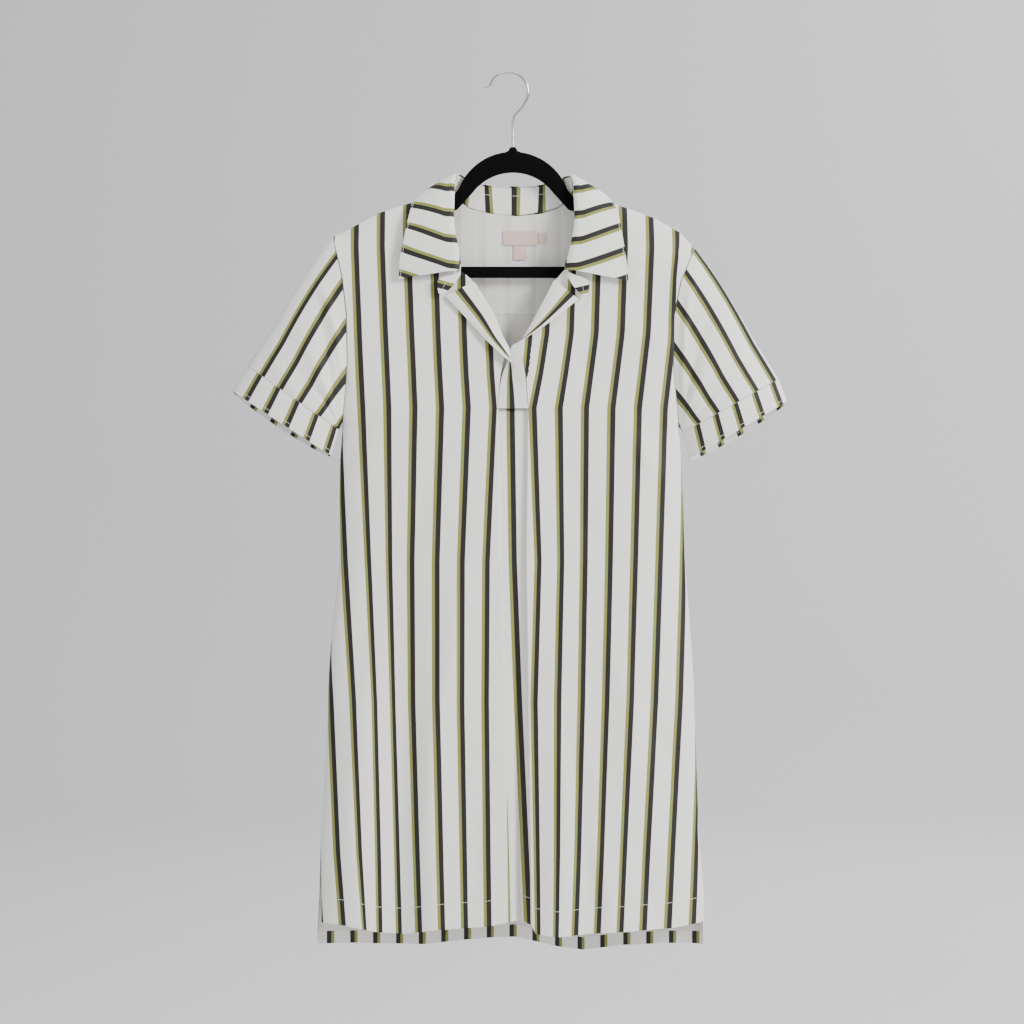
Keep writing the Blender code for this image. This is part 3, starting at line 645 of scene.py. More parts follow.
@dataclass
class Shell:
    """A thin sheet of cloth through a grid of points, print outside and wrong side inside."""
    name: str
    grid: np.ndarray
    cloth: np.ndarray
    outside: bpy.types.Material
    inside: bpy.types.Material
    wrap: bool = False
    missing: set = field(default_factory=set)
    inner_cloth: Optional[np.ndarray] = None
    turned: float = 0.0         # height of cloth turned up inside, which shows its print
    thickness: float = SHELL

    def normals(self) -> np.ndarray:
        """Unit normals of the grid's points."""
        if self.wrap:
            across = np.roll(self.grid, -1, axis=1) - np.roll(self.grid, 1, axis=1)
        else:
            across = np.gradient(self.grid, axis=1)
        down = np.gradient(self.grid, axis=0)
        normals = np.cross(down, across)
        length = np.linalg.norm(normals, axis=2, keepdims=True)
        return normals / np.maximum(length, 1e-9)

    def build(self) -> bpy.types.Object:
        """Make the shell's object.

        Returns:
            The object, at the origin.
        """
        rows, columns, _ = self.grid.shape
        last = columns if self.wrap else columns - 1
        cells = {(r, c) for r in range(rows - 1) for c in range(last)} - self.missing
        offset = self.normals() * self.thickness / 2
        index: dict[tuple[int, int, int], int] = {}
        vertices: list[tuple[float, float, float]] = []

        def point(row: int, column: int, side: int) -> int:
            """Number of a point on one side of the shell."""
            key = (row, column % columns, side)
            if key not in index:
                index[key] = len(vertices)
                place = self.grid[row, column % columns] + side * offset[row, column % columns]
                vertices.append(tuple(place * MM))
            return index[key]

        faces, uvs, slots = [], [], []
        inner = self.inner_cloth if self.inner_cloth is not None else self.cloth
        for row, column in sorted(cells):
            ring = [(row, column), (row + 1, column), (row + 1, column + 1), (row, column + 1)]
            places = [(r, c if not self.wrap else c) for r, c in ring]
            faces.append([point(*place, 1) for place in ring])
            uvs += [self.cloth[r, c] for r, c in places]
            slots.append(0)
            faces.append([point(*place, -1) for place in reversed(ring)])
            uvs += [inner[r, c] for r, c in reversed(places)]
            low = max(inner[r, c][1] for r, c in places)
            slots.append(0 if low <= self.turned else 1)
            before = (column - 1) % columns if self.wrap else column - 1
            after = (column + 1) % columns if self.wrap else column + 1
            beyond = [(row, before), (row + 1, column), (row, after), (row - 1, column)]
            for number, neighbour in enumerate(beyond):
                if neighbour in cells:
                    continue
                start, stop = ring[number], ring[(number + 1) % 4]
                faces.append([point(*stop, 1), point(*start, 1), point(*start, -1), point(*stop, -1)])
                uvs += [self.cloth[stop], self.cloth[start], self.cloth[start], self.cloth[stop]]
                slots.append(0)
        mesh = bpy.data.meshes.new(self.name)
        mesh.from_pydata(vertices, [], faces)
        layer = mesh.uv_layers.new(name="cloth")
        layer.data.foreach_set("uv", (np.array(uvs, dtype=float) * MM).ravel())
        for material in (self.outside, self.inside):
            mesh.materials.append(material)
        mesh.polygons.foreach_set("material_index", slots)
        mesh.shade_smooth()
        mesh.set_sharp_from_angle(angle=math.radians(50))
        mesh.update()
        made = bpy.data.objects.new(self.name, mesh)
        bpy.context.scene.collection.objects.link(made)
        return made


@dataclass
class Cut:
    """What a piece was cut to, in metres, and how it is held."""
    width: float
    length: float
    area: float
    held: Held = Held.HUNG
    rests_on: tuple[str, ...] = ("hanger_shell",)


def place_piece(made: bpy.types.Object, node: str) -> None:
    """Tie a piece to the frame.

    Args:
        made: the piece.
        node: CAD node that it stands for.
    """
    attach(made, "root")
    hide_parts(node)
    LOG.info("%s: %d faces", made.name, len(made.data.polygons))


@dataclass
class Body:
    """Front, back and yoke."""
    print_cloth: bpy.types.Material
    wrong_side: bpy.types.Material

    def half_front(self, inner: Sequence[Edge], arm: Sequence[Edge]) -> tuple[list, list]:
        """Rows of the front above the placket's end, outer edge first.

        Args:
            inner: neck and slit edge.
            arm: armhole edge.

        Returns:
            Rows of points and of cloth places.
        """
        rows, cloth = [], []
        for share in fine(ARM_SHARES, ARM_STEPS)[:-1]:
            outer_x, outer_z = along(arm, share)
            inner_x, inner_z = along(inner, share)
            points, places = [], []
            for column in range(HALF_COLUMNS + 1):
                part = column / HALF_COLUMNS
                x = outer_x + part * (inner_x - outer_x)
                z = outer_z + part * (inner_z - outer_z)
                start = arm[0].x + part * (inner[0].x - arm[0].x)
                z += (crest(start) - arm[0].z - part * (inner[0].z - arm[0].z)) * (1 - share) ** 2
                z = min(z, crest(x))
                points.append((x, -max(body_depth(x, z, "front"), CREST_GAP), z))
                places.append((front_stripe(x, z), z + 985.0))
            rows.append(points)
            cloth.append(places)
        return rows, cloth

    def pleat(self, level: float) -> list[tuple[float, float, float]]:
        """Points of the box pleat at one height, as x, y and cloth place."""
        left, right = (at_height(PLEATS, level, name) for name in ("left", "right"))
        hidden = [at_height(PLEATS, level, "hidden_" + name) for name in ("left", "right")]
        y = -body_depth(0.0, level, "front")
        layer = 2.3
        deep = y + 2 * layer
        stripe_x = at_height(STRIPE_ROWS, level, "pleat_mid")
        middle = (left + right) / 2
        start = front_stripe(left, level)
        stop = front_stripe(right, level)
        centre = PITCH * PLEAT_STRIPE
        near, far = centre + left - stripe_x, centre + right - stripe_x
        turns = [(left + 1.0, y + layer / 2, 0.02), (left - 0.5, y + layer, 0.05)]
        turns += [(left - hidden[0], y + layer, 0.48), (left - hidden[0] - 1.0, y + 1.5 * layer, 0.5)]
        turns += [(left - hidden[0], deep, 0.52), (left, deep + 0.5, 1.0)]
        points = [(x, yy, start + share * (near - start)) for x, yy, share in turns]
        points.append((middle, deep + at_height(PLEATS, level, "recess"), centre + middle - stripe_x))
        turns = [(right, deep + 0.5, 0.0), (right + hidden[1], deep, 0.48)]
        turns += [(right + hidden[1] + 1.0, y + 1.5 * layer, 0.5), (right + hidden[1], y + layer, 0.52)]
        turns += [(right + 0.5, y + layer, 0.95), (right - 1.0, y + layer / 2, 0.98)]
        return points + [(x, yy, far + share * (stop - far)) for x, yy, share in turns]

    def skirt_row(self, share: float) -> tuple[list, list]:
        """One row of the front below the placket.

        Args:
            share: 0 at the placket's end, 1 at the hem.

        Returns:
            Its points and cloth places.
        """
        level = PLACKET_END_Z + share * (hem_height(HEM_FRONT, 0.0) - PLACKET_END_Z)
        edges = [at_height(PLEATS, level, name) for name in ("left", "right")]
        halves, places = [], []
        for side, table in enumerate((ARM_LEFT, ARM_RIGHT)):
            hem_z = HEM_FRONT[0 if side == 0 else -1].z
            edge_z = table[-1].z + share * (hem_z - table[-1].z)
            edge_x = at_height(SIDES, edge_z, ("left", "right")[side])
            if side == 0:
                edge_x += 5.0 * min(max((SLIT_Z - edge_z) / 110.0, 0.0), 1.0)
            half, cloth = [], []
            for column in range(HALF_COLUMNS + 1):
                part = column / HALF_COLUMNS
                x = edge_x + part * (edges[side] - edge_x)
                top = table[-1].z + part * (PLACKET_END_Z - table[-1].z)
                hem = hem_height(HEM_FRONT, x)
                z = top + share * (hem - top)
                half.append((x, -body_depth(x, z, "front"), z))
                cloth.append((front_stripe(x, z), z - hem))
            halves.append(half)
            places.append(cloth)
        middle, middle_cloth = [], []
        for x, y, cloth_x in self.pleat(level):
            hem = hem_height(HEM_FRONT, x)
            z = PLACKET_END_Z - SEAM + share * (hem - PLACKET_END_Z)
            middle.append((x, y, z))
            middle_cloth.append((cloth_x, z - hem))
        return halves[0] + middle + halves[1][::-1], places[0] + middle_cloth + places[1][::-1]

    def front(self) -> bpy.types.Object:
        """Build the front, slit for the placket and pleated below it."""
        left, left_cloth = self.half_front(FRONT_LEFT_INNER, ARM_LEFT)
        right, right_cloth = self.half_front(FRONT_RIGHT_INNER, ARM_RIGHT)
        lower, lower_cloth = zip(*(self.skirt_row(row / SKIRT_ROWS) for row in range(SKIRT_ROWS + 1)))
        count = len(lower[0]) - 2 * (HALF_COLUMNS + 1)
        rows, cloth, missing = [], [], set()
        for number, (one, two) in enumerate(zip(left, right)):
            first, second = np.array(one), np.array(two)
            step, back = first[-1] - first[-2], second[-1] - second[-2]
            half = count // 2
            filler = [first[-1] + 0.01 * (n + 1) * step for n in range(half)]
            filler += [second[-1] + 0.01 * (count - n) * back for n in range(half, count)]
            rows.append(list(first) + filler + list(second[::-1]))
            cloth.append(left_cloth[number] + [left_cloth[number][-1]] * count + right_cloth[number][::-1])
            missing |= {(number, HALF_COLUMNS + n) for n in range(count + 1)}
        grid = np.array(rows + [list(row) for row in lower], dtype=float)
        places = [unstretched(row, places, len(row) // 4, outer_columns(len(row)))
                  for row, places in zip(grid, cloth + list(lower_cloth))]
        return Shell("front_shell", grid, np.array(places), self.print_cloth, self.wrong_side,
                     missing=missing).build()

    def yoke(self) -> bpy.types.Object:
        """Build the yoke, from the shoulder lines and the neck to its seam."""
        share = (ARM_LEFT[0].z - YOKE_Z) / (ARM_LEFT[0].z - UNDERARM_Z)
        grid, cloth = [], []
        for down in fine(YOKE_SHARES, 5):
            left_x, _ = along(ARM_LEFT, down * share)
            right_x, _ = along(ARM_RIGHT, down * share)
            points, places = [], []
            for top_x in fine(YOKE_COLUMNS, 4):
                part = (top_x - SHOULDER_X[0]) / (SHOULDER_X[1] - SHOULDER_X[0])
                x = left_x + part * (right_x - left_x)
                top = self.yoke_top(top_x)
                z = min(top + down * (YOKE_Z - top), self.yoke_top(x))
                lap = 1.1 if down > 0.955 else 0.0
                points.append((x, max(body_depth(x, z, "back") - lap, CREST_GAP), z))
                places.append((x * 1.06 + 12.0, z - YOKE_Z + 40.0))
            grid.append(points[::-1])
            cloth.append(places[::-1])
        return Shell("yoke_shell", np.array(grid), np.array(cloth), self.print_cloth, self.wrong_side).build()

    @staticmethod
    def yoke_top(x: float) -> float:
        """Height of the yoke's upper edge."""
        if x <= NECK_X[0] or x >= NECK_X[1]:
            return crest(x)
        return float(np.interp(x, [edge.x for edge in BACK_NECK], [edge.z for edge in BACK_NECK]))

    def back(self) -> bpy.types.Object:
        """Build the back below the yoke."""
        grid, cloth, inner = [], [], []
        rows, columns = 150, 116
        for row in range(rows + 1):
            down = row / rows
            level = YOKE_Z + down * (-1004.0 - YOKE_Z)
            if level > UNDERARM_Z:
                edges = (at_height(ARM_LEFT, level, "x") + 2 * SEAM, at_height(ARM_RIGHT, level, "x") - 2 * SEAM)
            else:
                edges = (at_height(SIDES, level, "left"), at_height(SIDES, level, "right"))
            points, places, shown = [], [], []
            for column in range(columns + 1):
                x = edges[0] + column / columns * (edges[1] - edges[0])
                hem = hem_height(HEM_BACK, x)
                z = YOKE_Z - SEAM + down * (hem - YOKE_Z + SEAM)
                spread = 4.0 * min(max((SLIT_Z - z) / 130.0, 0.0), 1.0)
                points.append((x, max(body_depth(x, z, "back"), CREST_GAP) + spread, z))
                places.append((x * (1.06 + 0.06 * down) + 12.0, z - hem))
                turned = z - hem < BACK_TURN + 1.0
                across = OLIVE + CHARCOAL - 1.155 * (x + 4.0) if turned else places[-1][0]
                shown.append((across, z - hem))
            grid.append(points[::-1])
            cloth.append(unstretched(points, places, columns // 2, outer_columns(columns + 1))[::-1])
            inner.append(shown[::-1])
        return Shell("back_shell", np.array(grid), np.array(cloth), self.print_cloth, self.wrong_side,
                     inner_cloth=np.array(inner), turned=BACK_TURN).build()


@dataclass
class Sleeve:
    """A sleeve and its cuff: the cuff's upper and lower corners, outer and inner."""
    name: str
    arm: list
    top_outer: Edge
    top_inner: Edge
    low_outer: Edge
    low_inner: Edge
    out: float
    arm_stripes: tuple[float, ...]
    cuff_stripes: tuple[float, ...]
    opening: float = 21.0
    drop: float = 8.0

    def stations(self) -> list[tuple[float, bool]]:
        """Shares of the way across the flat sleeve, round it, and whether each is in front."""
        shares = fine(ARM_SHARES, 4)
        return [(s, True) for s in shares[::-1]] + [(s, False) for s in shares[1:]]

    def stripe(self, share: float, front: bool, down: float) -> float:
        """Cloth place round the sleeve at a share across it."""
        found = []
        for table in (self.arm_stripes, self.cuff_stripes):
            step = (table[-1] - table[0]) / (len(table) - 1)
            places = [table[0] - step, *table, table[-1] + step]
            found.append(float(np.interp(share, places, range(len(places)))))
        value = found[0] + down * (found[1] - found[0])
        edge = [float(np.interp(0.0, [t[0] - (t[-1] - t[0]) / (len(t) - 1), *t], range(len(t) + 1)))
                for t in (self.arm_stripes, self.cuff_stripes)]
        top = edge[0] + down * (edge[1] - edge[0])
        if not front:
            value = 2 * top - value
        return -self.out * PITCH * value

    def ring(self, down: float, cuff: bool) -> tuple[list, list]:
        """Points round the sleeve or its cuff.

        Args:
            down: 0 at the upper seam, 1 at the lower edge.
            cuff: whether this is the cuff.

        Returns:
            Points and cloth places.
        """
        points, places = [], []
        for share, front in self.stations():
            turn = math.acos(1.0 - 2.0 * share)
            round_it = abs(math.sin(turn))
            if cuff:
                ends = [(self.top_outer, self.low_outer), (self.top_inner, self.low_inner)]
                outer, inner = [(a.x + down * (b.x - a.x), a.z + down * (b.z - a.z)) for a, b in ends]
                x = outer[0] + share * (inner[0] - outer[0])
                z = outer[1] + share * (inner[1] - outer[1]) - (0.0 if front else self.drop * round_it)
                y = self.opening * round_it
                cloth = self.stripe(share, front, 1.0) + 3.0
            else:
                arm_x, arm_z = along(self.arm, share)
                depth = 0.0 if share in (0.0, 1.0) else arm_depth(arm_x, arm_z)
                end_x = self.top_outer.x + share * (self.top_inner.x - self.top_outer.x)
                end_z = self.top_outer.z + share * (self.top_inner.z - self.top_outer.z)
                end_z -= 0.0 if front else self.drop * round_it
                x = arm_x + down * (end_x - arm_x) + self.out * 1.2 * (1 - down)
                z = arm_z + down * (end_z - arm_z)
                z += 5.0 * math.sin(math.pi * min(down * 1.4, 1.0)) * (1 - share)
                y = depth + down * (self.opening * round_it - depth) + 3.0 * math.sin(math.pi * down) * round_it
                y += self.creased(down, share, front) * round_it
                cloth = self.stripe(share, front, down)
            points.append((x, -y if front else y, z))
            places.append((cloth, (1 - down) * (34.0 if cuff else 150.0)))
        shares = np.array([share for share, _ in self.stations()])
        start = int(np.argmin(np.abs(shares[:len(shares) // 2] - 0.3)))
        return points, unstretched(points, places, start, (shares < 0.12) | (shares > 0.9))

    def creased(self, down: float, share: float, front: bool) -> float:
        """Height of the soft creases that cross a sleeve."""
        total = 0.0
        for number in range(5):
            middle = 0.14 + 0.19 * number + (0.03 if front else -0.02)
            lean = 0.22 * math.sin(2.1 * number + self.out)
            across = (down - middle - lean * (share - 0.5)) / (0.05 + 0.012 * (number % 3))
            along_it = (share - 0.35 - 0.12 * (number % 4)) / 0.33
            total += (2.6 - 0.35 * number) * (-1) ** number * math.exp(-across ** 2 - along_it ** 2)
        return total

    def build(self, outside: bpy.types.Material, inside: bpy.types.Material, cuff: bool) -> bpy.types.Object:
        """Build the sleeve or its cuff.

        Args:
            outside: the print.
            inside: the wrong side.
            cuff: whether to build the cuff.

        Returns:
            The shell's object.
        """
        length = math.hypot(self.low_outer.x - self.top_outer.x, self.low_outer.z - self.top_outer.z)
        start = 0.5 / length if cuff else 0.0
        rows = 10 if cuff else SLEEVE_ROWS
        made = [self.ring(start + (1 - start) * row / rows, cuff) for row in range(rows + 1)]
        grid = np.array([points[:-1] for points, _ in made], dtype=float)
        cloth = np.array([places for _, places in made], dtype=float)
        if self.out < 0:
            grid = np.roll(grid[:, ::-1], 1, axis=1)
            cloth = cloth[:, ::-1]
        name = ("cuff_" if cuff else "sleeve_") + self.name + "_shell"
        return Shell(name, grid, cloth, outside, inside, wrap=True).build()


@dataclass
class Placket:
    """A placket strip from its seam to its free edge."""
    name: str
    bands: list
    outer_print: tuple[float, float]        # cloth place at the seam, and its run across the strip
    inner_print: tuple[float, float]

    def build(self, outside: bpy.types.Material, inside: bpy.types.Material) -> bpy.types.Object:
        """Build the strip.

        Args:
            outside: print of its outer side.
            inside: print of its facing.

        Returns:
            The shell's object.
        """
        table = smooth_path(np.array(self.bands, dtype=float), 9)
        columns = 18
        grid, cloth, facing = [], [], []
        run = 0.0
        for number, row in enumerate(table):
            band = Band(*row)
            if number:
                run += math.hypot(row[0] - table[number - 1][0], row[1] - table[number - 1][1])
            points, places, inner = [], [], []
            for column in range(columns + 1):
                part = column / columns
                x = band.seam_x + part * (band.free_x - band.seam_x)
                z = band.seam_z + part * (band.free_z - band.seam_z)
                y = -body_depth(x, z, "front") - band.seam_lift - part * (band.free_lift - band.seam_lift)
                points.append((x, y - band.bulge * math.sin(math.pi * part), z))
                width = 36.0 * part
                edge = min(width, 36.0 - width)
                places.append((self.outer_print[0] + self.outer_print[1] * width, edge))
                inner.append((self.inner_print[0] + self.inner_print[1] * width, edge))
            grid.append(points)
            cloth.append(places)
            facing.append(inner)
        return Shell(self.name, np.array(grid), np.array(cloth), outside, inside,
                     inner_cloth=np.array(facing)).build()


@dataclass
class CollarSet:
    """Collar stand and leaf."""
    steps: int = 8

    def sections(self) -> np.ndarray:
        """Seam, roll and edge points along the collar, left front end first."""
        rows = COLLAR_LEFT[::-1] + [COLLAR_BACK] + COLLAR_RIGHT
        return smooth_path(np.array([[s.seam, s.roll, s.edge] for s in rows], dtype=float), self.steps)

    @staticmethod
    def run_along(points: np.ndarray) -> np.ndarray:
        """Length along a line of points, from its middle."""
        run = np.concatenate([[0.0], np.cumsum(np.linalg.norm(np.diff(points, axis=0), axis=1))])
        return run - run[len(run) // 2]

    def stand(self, outside: bpy.types.Material, inside: bpy.types.Material) -> bpy.types.Object:
        """Build the stand with its two ends."""
        rows = COLLAR_LEFT[::-1] + [COLLAR_BACK] + COLLAR_RIGHT
        middle = []
        for section in rows:
            seam, roll = np.array(section.seam, float), np.array(section.roll, float)
            middle.append([seam, roll - 1.6 * (roll - seam) / np.linalg.norm(roll - seam)])
        ends = [[np.array(low, float), np.array(top, float)] for low, top in STAND_END_LEFT[::-1]]
        tail = [[np.array(low, float), np.array(top, float)] for low, top in STAND_END_RIGHT]
        table = smooth_path(np.array(ends + middle + tail), self.steps)
        run = self.run_along(table[:, 0])
        grid, cloth = [], []
        for number, (low, top) in enumerate(table):
            parts = np.linspace(0.0, 1.0, 9)
            round_end = min(number, len(table) - 1 - number) / self.steps
            squeeze = math.sqrt(min(1.0, round_end + 0.12)) if round_end < 1 else 1.0
            centre = (low + top) / 2
            grid.append([centre + squeeze * (low + part * (top - low) - centre) for part in parts])
            size = float(np.linalg.norm(top - low))
            cloth.append([(-run[number] + 8.0, size * (1 - part) - 4.3) for part in parts])
        return Shell("collar_stand_shell", np.array(grid), np.array(cloth), outside, inside).build()

    def leaf(self, outside: bpy.types.Material, inside: bpy.types.Material) -> bpy.types.Object:
        """Build the leaf, from the roll line over the stand and the shoulders."""
        table = self.sections()
        rolls, edges = table[:, 1], table[:, 2]
        tangents = np.gradient(rolls, axis=0)
        run = self.run_along(rolls)
        parts = np.concatenate([np.linspace(0, 0.14, 6), np.linspace(0.14, 1.0, 15)[1:]])
        lifts = np.interp(parts, [p for p, _ in LEAF_SPREAD], [lift for _, lift in LEAF_SPREAD])
        grid, cloth = [], []
        for roll, edge, tangent, place in zip(rolls, edges, tangents, run):
            out = np.cross(tangent, edge - roll)
            out /= np.linalg.norm(out)
            size = float(np.linalg.norm(edge - roll))
            grid.append([roll + part * (edge - roll) + lift * out for part, lift in zip(parts, lifts)])
            side = 1.0 if place < 0 else -1.0
            slant = side * min(abs(place) / 60.0, 1.0) * (34.0 if place < 0 else 31.0)
            leans = slant * np.interp(parts, [0.0, 0.18, 1.0], [0.0, 0.09, 1.0])
            start = 6.5 + 1.5 * math.tanh(place / 60.0)
            ends = size * (1 - parts) + 3.0
            cloth.append([(lean + start - place, distance) for lean, distance in zip(leans, ends)])
        return Shell("collar_leaf_shell", np.array(grid), np.array(cloth), outside, inside).build()


@dataclass
class Label:
    """A bare woven label against the inside of the yoke."""
    name: str
    left: float
    right: float
    top: float
    bottom: float

    def build(self, ribbon: bpy.types.Material) -> bpy.types.Object:
        """Build the label from the yoke's own points, moved in."""
        inward = 1.65
        grid, cloth = [], []
        for row in range(9):
            z = self.top + row / 8 * (self.bottom - self.top)
            points, places = [], []
            for column in range(13):
                x = self.left + column / 12 * (self.right - self.left)
                ripple = 0.25 * math.sin(math.pi * column / 12)
                points.append((x, body_depth(x, z, "back") - inward - ripple, z))
                places.append((x, z))
            grid.append(points)
            cloth.append(places)
        return Shell(self.name, np.array(grid), np.array(cloth), ribbon, ribbon, thickness=0.7).build()


@dataclass
class Hanger:
    """The flat flocked hanger and its wire hook."""
    thick: float = 4.6
    arm_tall: float = 11.5
    arm_below: float = 8.0
    arch: float = 67.0
    arch_inner: float = 58.0
    bar_top: float = -222.0
    bar_bottom: float = -235.0
    wire: float = 1.5
    hook_radius: float = 22.5
    hook_centre: tuple[float, float] = (-5.0, -21.0)

    def outline(self) -> tuple[list, list]:
        """Outer and inner outline of its right half, from the top to the bar."""
        outer = [(0.0, -84.6), (2.6, -84.6), (3.4, -85.4), (5.4, -89.0), (9.0, -90.6)]
        for step in range(12):
            turn = math.radians(78 - step * 5.2)
            outer.append((self.arch * math.cos(turn), -157 + self.arch * math.sin(turn)))
        inner = []
        for step in range(17):
            turn = math.radians(90 - step * 3.3)
            inner.append((self.arch_inner * math.cos(turn), -172 + self.arch_inner * math.sin(turn)))
        for step in range(12):
            x = 72 + step * (184 - 72) / 11
            top = crest(-x) - self.arm_below
            outer.append((x, top))
            inner.append((x - 8 - 0.45 * step, top - self.arm_tall))
        for step in range(9):
            turn = math.radians(35 - step * 15.5)
            outer.append((171 + 18 * math.cos(turn), -216 + 19 * math.sin(turn)))
            inner.append((164 + 10 * math.cos(turn), -212 + 10 * math.sin(turn)))
        outer += [(150, self.bar_bottom), (60, self.bar_bottom)]
        inner += [(150, self.bar_top), (60, self.bar_top)]
        return outer, inner

    def body(self, flock: bpy.types.Material) -> bpy.types.Object:
        """Build the hanger as one ring with rounded edges."""
        outer, inner = self.outline()
        loops = [ring + [(-x, z) for x, z in ring[:0:-1]] for ring in (outer, inner)]
        count = len(loops[0])
        half = self.thick / 2
        vertices = [(x * MM, y * MM, z * MM) for y in (-half, half) for ring in loops for x, z in ring]
        faces = []
        for number in range(count):
            after = (number + 1) % count
            faces.append((number, count + number, count + after, after))
            faces.append((2 * count + number, 2 * count + after, 3 * count + after, 3 * count + number))
            faces.append((number, after, 2 * count + after, 2 * count + number))
            faces.append((count + number, 3 * count + number, 3 * count + after, count + after))
        mesh = bpy.data.meshes.new("hanger_shell")
        mesh.from_pydata(vertices, [], faces)
        mesh.materials.append(flock)
        made = bpy.data.objects.new("hanger_shell", mesh)
        bpy.context.scene.collection.objects.link(made)
        bpy.ops.object.select_all(action="DESELECT")
        made.select_set(True)
        bpy.context.view_layer.objects.active = made
        bevel = made.modifiers.new("rounded", "BEVEL")
        bevel.width = 0.0013
        bevel.segments = 3
        bevel.angle_limit = math.radians(50)
        bpy.ops.object.modifier_apply(modifier=bevel.name)
        made.data.shade_smooth()
        return made

    def hook(self, chrome: bpy.types.Material) -> bpy.types.Object:
        """Build the wire hook: ball end, round top, slanting neck and straight stem."""
        points = [(-33.8, -16.2), (-31.5, -15.6), (-29.2, -14.9)]
        for step in range(33):
            turn = math.radians(163 - step * (163 + 30) / 32)
            points.append((self.hook_centre[0] + self.hook_radius * math.cos(turn),
                           self.hook_centre[1] + self.hook_radius * math.sin(turn)))
        points += [(10.6, -39.5), (6.2, -44.2), (2.6, -48.0), (0.8, -51.0), (0.0, -55.0), (0.0, -70.0), (0.0, -84.0)]
        curve = bpy.data.curves.new("hook_wire", "CURVE")
        curve.dimensions = "3D"
        curve.bevel_depth = self.wire * MM
        curve.bevel_resolution = 6
        curve.use_fill_caps = True
        spline = curve.splines.new("POLY")
        spline.points.add(len(points) - 1)
        for target, (x, z) in zip(spline.points, points):
            target.co = (x * MM, 0.0, z * MM, 1.0)
        spline.points[0].radius = 0.75
        curve.materials.append(chrome)
        made = bpy.data.objects.new("hook_wire", curve)
        bpy.context.scene.collection.objects.link(made)
        bpy.ops.object.select_all(action="DESELECT")
        made.select_set(True)
        bpy.context.view_layer.objects.active = made
        bpy.ops.object.convert(target="MESH")
        made = bpy.context.view_layer.objects.active
        made.data.shade_smooth()
        return made


# ---------------------------------------------------------------- studio

@dataclass
class Studio:
    """Camera, floor, backdrop and soft lights."""
    distance: float = 3.0
    view_height: float = 1.177
    centre: tuple[float, float] = (-0.001, -0.504)
    floor: float = -1.35
    bend_start: float = 4.2         # the backdrop rises beyond the reach of a camera behind the dress
    bend_radius: float = 1.5

    def build(self) -> None:
        """Set the studio up."""
        scene = bpy.context.scene
        data = bpy.data.cameras.new("camera")
        data.sensor_width = data.sensor_height = 36.0
        data.lens = 36.0 * self.distance / self.view_height
        camera = bpy.data.objects.new("camera", data)
        camera.location = (self.centre[0], -self.distance, self.centre[1])
        camera.rotation_euler = (math.pi / 2, 0, 0)
        scene.collection.objects.link(camera)
        scene.camera = camera
        paper = PlainFinish("studio paper", "#F0F0F1", 0.95)
        made = paper.build()
        self.sweep(made)
        for name, place, size, power, target in (
            ("key", (2.5, -2.0, 0.9), 1.0, 150.0, (0, 0, -0.5)),
            ("fill", (-1.8, -2.4, 0.2), 2.0, 16.0, (0, 0, -0.5)),
            ("top", (0.0, -0.6, 1.9), 1.8, 26.0, (0, 0, -0.4)),
            ("backdrop", (3.4, 2.6, 2.4), 2.0, 110.0, (0.6, 5.7, -0.3)),
            ("back fill", (1.2, 3.4, 1.6), 1.6, 40.0, (0, 0, -0.5)),
        ):
            self.lamp(name, place, size, power, target)
        world = bpy.data.worlds.new("studio")
        world.use_nodes = True
        world.node_tree.nodes["Background"].inputs["Color"].default_value = (0.9, 0.92, 0.95, 1)
        world.node_tree.nodes["Background"].inputs["Strength"].default_value = 0.62
        scene.world = world

    def sweep(self, paper: bpy.types.Material) -> None:
        """Floor and backdrop as one curved sheet of paper."""
        profile = [(-9.0, self.floor), (self.bend_start, self.floor)]
        for step in range(1, 13):
            turn = math.pi / 2 * step / 12
            rise = self.bend_radius * (1 - math.cos(turn))
            profile.append((self.bend_start + self.bend_radius * math.sin(turn), self.floor + rise))
        profile.append((self.bend_start + self.bend_radius, 6.0))
        vertices = [(x, y, z) for x in (-9.0, 9.0) for y, z in profile]
        count = len(profile)
        faces = [(n, count + n, count + n + 1, n + 1) for n in range(count - 1)]
        mesh = bpy.data.meshes.new("studio_sweep")
        mesh.from_pydata(vertices, [], faces)
        mesh.materials.append(paper)
        mesh.shade_smooth()
        made = bpy.data.objects.new("studio_sweep", mesh)
        bpy.context.scene.collection.objects.link(made)

    @staticmethod
    def lamp(name: str, place: tuple, size: float, power: float, target: tuple) -> None:
        """Add a square soft light aimed at a point."""
        data = bpy.data.lights.new(name, "AREA")
        data.shape = "SQUARE"
        data.size = size
        data.energy = power
        made = bpy.data.objects.new(name, data)
        made.location = place
        aim = bpy.context.scene.cursor.location.copy()
        aim[:] = [t - p for t, p in zip(target, place)]
        made.rotation_euler = aim.to_track_quat("-Z", "Y").to_euler()
        bpy.context.scene.collection.objects.link(made)


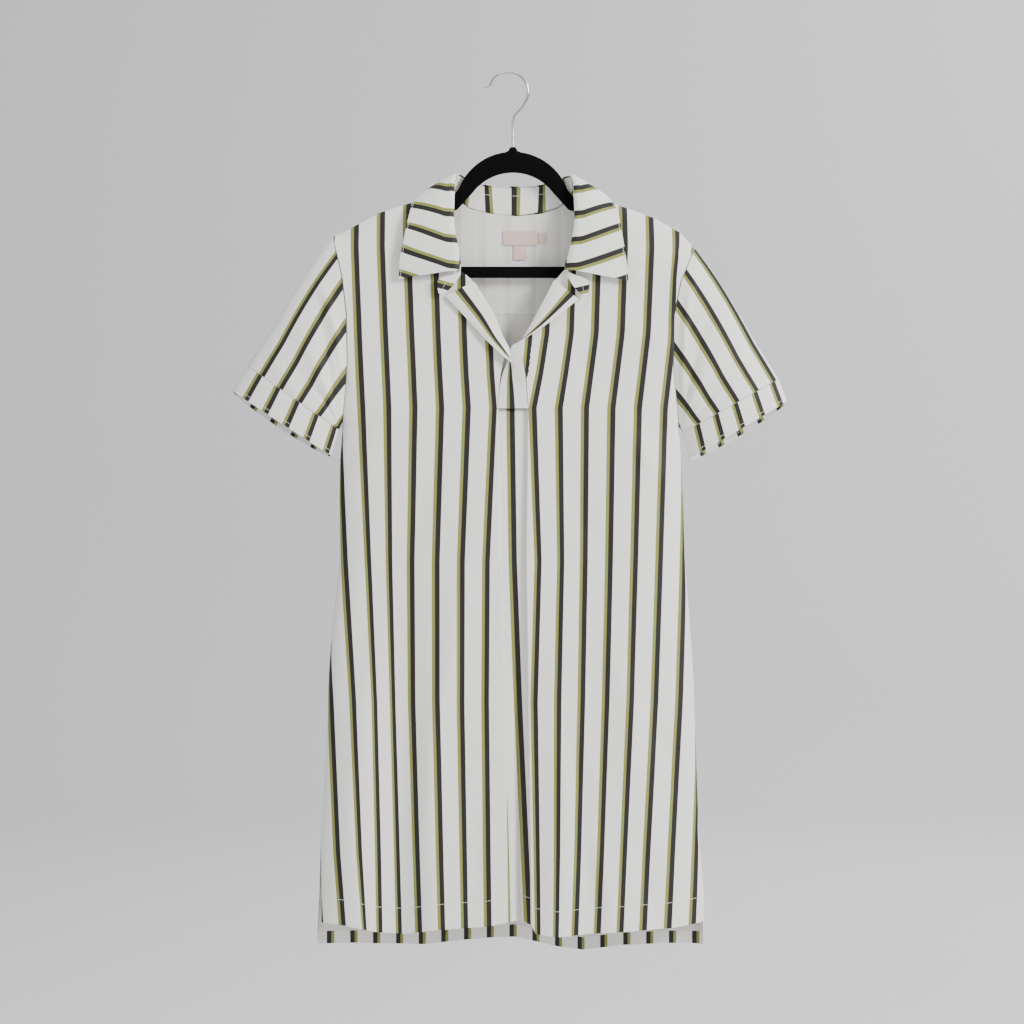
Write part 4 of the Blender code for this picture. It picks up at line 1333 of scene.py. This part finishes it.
def main() -> None:
    """Build the dress, its hanger and the studio."""
    logging.basicConfig(level=logging.INFO, format="%(name)s %(message)s")
    Studio().build()
    body_print = StripedTwill("striped twill", stitches=(HEM_TURN,)).build()
    trim_print = StripedTwill("striped twill, edge stitched", stitches=(5.0,)).build()
    plain_print = StripedTwill("striped twill, plain").build()
    wrong = StripedTwill("wrong side of the twill", ground="#EAE8E2", olive="#E3E1D8", charcoal="#DCD9D3").build()
    ribbon = PlainFinish("woven ribbon", "#E3C3B9", 0.7, grain=0.3).build()
    flock = PlainFinish("black flock", "#070607", 0.95, sheen=0.02, specular=0.08, grain=0.3,
                        grain_scale=3000.0).build()
    chrome = PlainFinish("chromed wire", "#D6D7DA", 0.14, metallic=1.0).build()

    hanger = Hanger()
    place_piece(hanger.body(flock), "hanger_body")
    place_piece(hanger.hook(chrome), "hanger_hook")
    body = Body(body_print, wrong)
    place_piece(body.front(), "front")
    place_piece(body.back(), "back")
    place_piece(body.yoke(), "back_yoke")
    for sleeve in SLEEVES:
        place_piece(sleeve.build(plain_print, wrong, False), "sleeve_" + sleeve.name)
        place_piece(sleeve.build(trim_print, trim_print, True), "cuff_" + sleeve.name)
    for placket, node, area in PLACKETS:
        place_piece(placket.build(trim_print, trim_print), node)
    collar = CollarSet()
    place_piece(collar.stand(trim_print, trim_print), "collar_stand")
    place_piece(collar.leaf(trim_print, plain_print), "collar_leaf")
    for label in LABELS:
        place_piece(label.build(ribbon), label.name.replace("_shell", ""))


SLEEVES = [
    Sleeve("left", ARM_LEFT, Edge(-304, -336), Edge(-200, -409), Edge(-322, -365), Edge(-209, -439), -1.0,
           (0.08, 0.22, 0.43, 0.68, 0.99), (0.13, 0.33, 0.54, 0.75, 0.94)),
    Sleeve("right", ARM_RIGHT, Edge(305, -351), Edge(196, -412), Edge(315, -377), Edge(203, -443), 1.0,
           (0.03, 0.17, 0.36, 0.61, 0.87), (0.09, 0.28, 0.49, 0.69, 0.88)),
]
PLACKETS = [
    (Placket("placket_left_shell", PLACKET_LEFT, (-10.5, 1.0), (24.7, -1.0)), "placket_left", 0.0052),
    (Placket("placket_right_shell", PLACKET_RIGHT, (-19.0, 1.0), (11.5, 0.5)), "placket_right", 0.0042),
]
LABELS = [
    Label("label_main_shell", -11.0, 29.0, -180.0, -196.0), Label("label_size_shell", 29.6, 38.0, -182.0, -193.0),
    Label("label_care_shell", 1.0, 15.0, -196.6, -213.0),
]

if __name__ == "__main__":
    main()
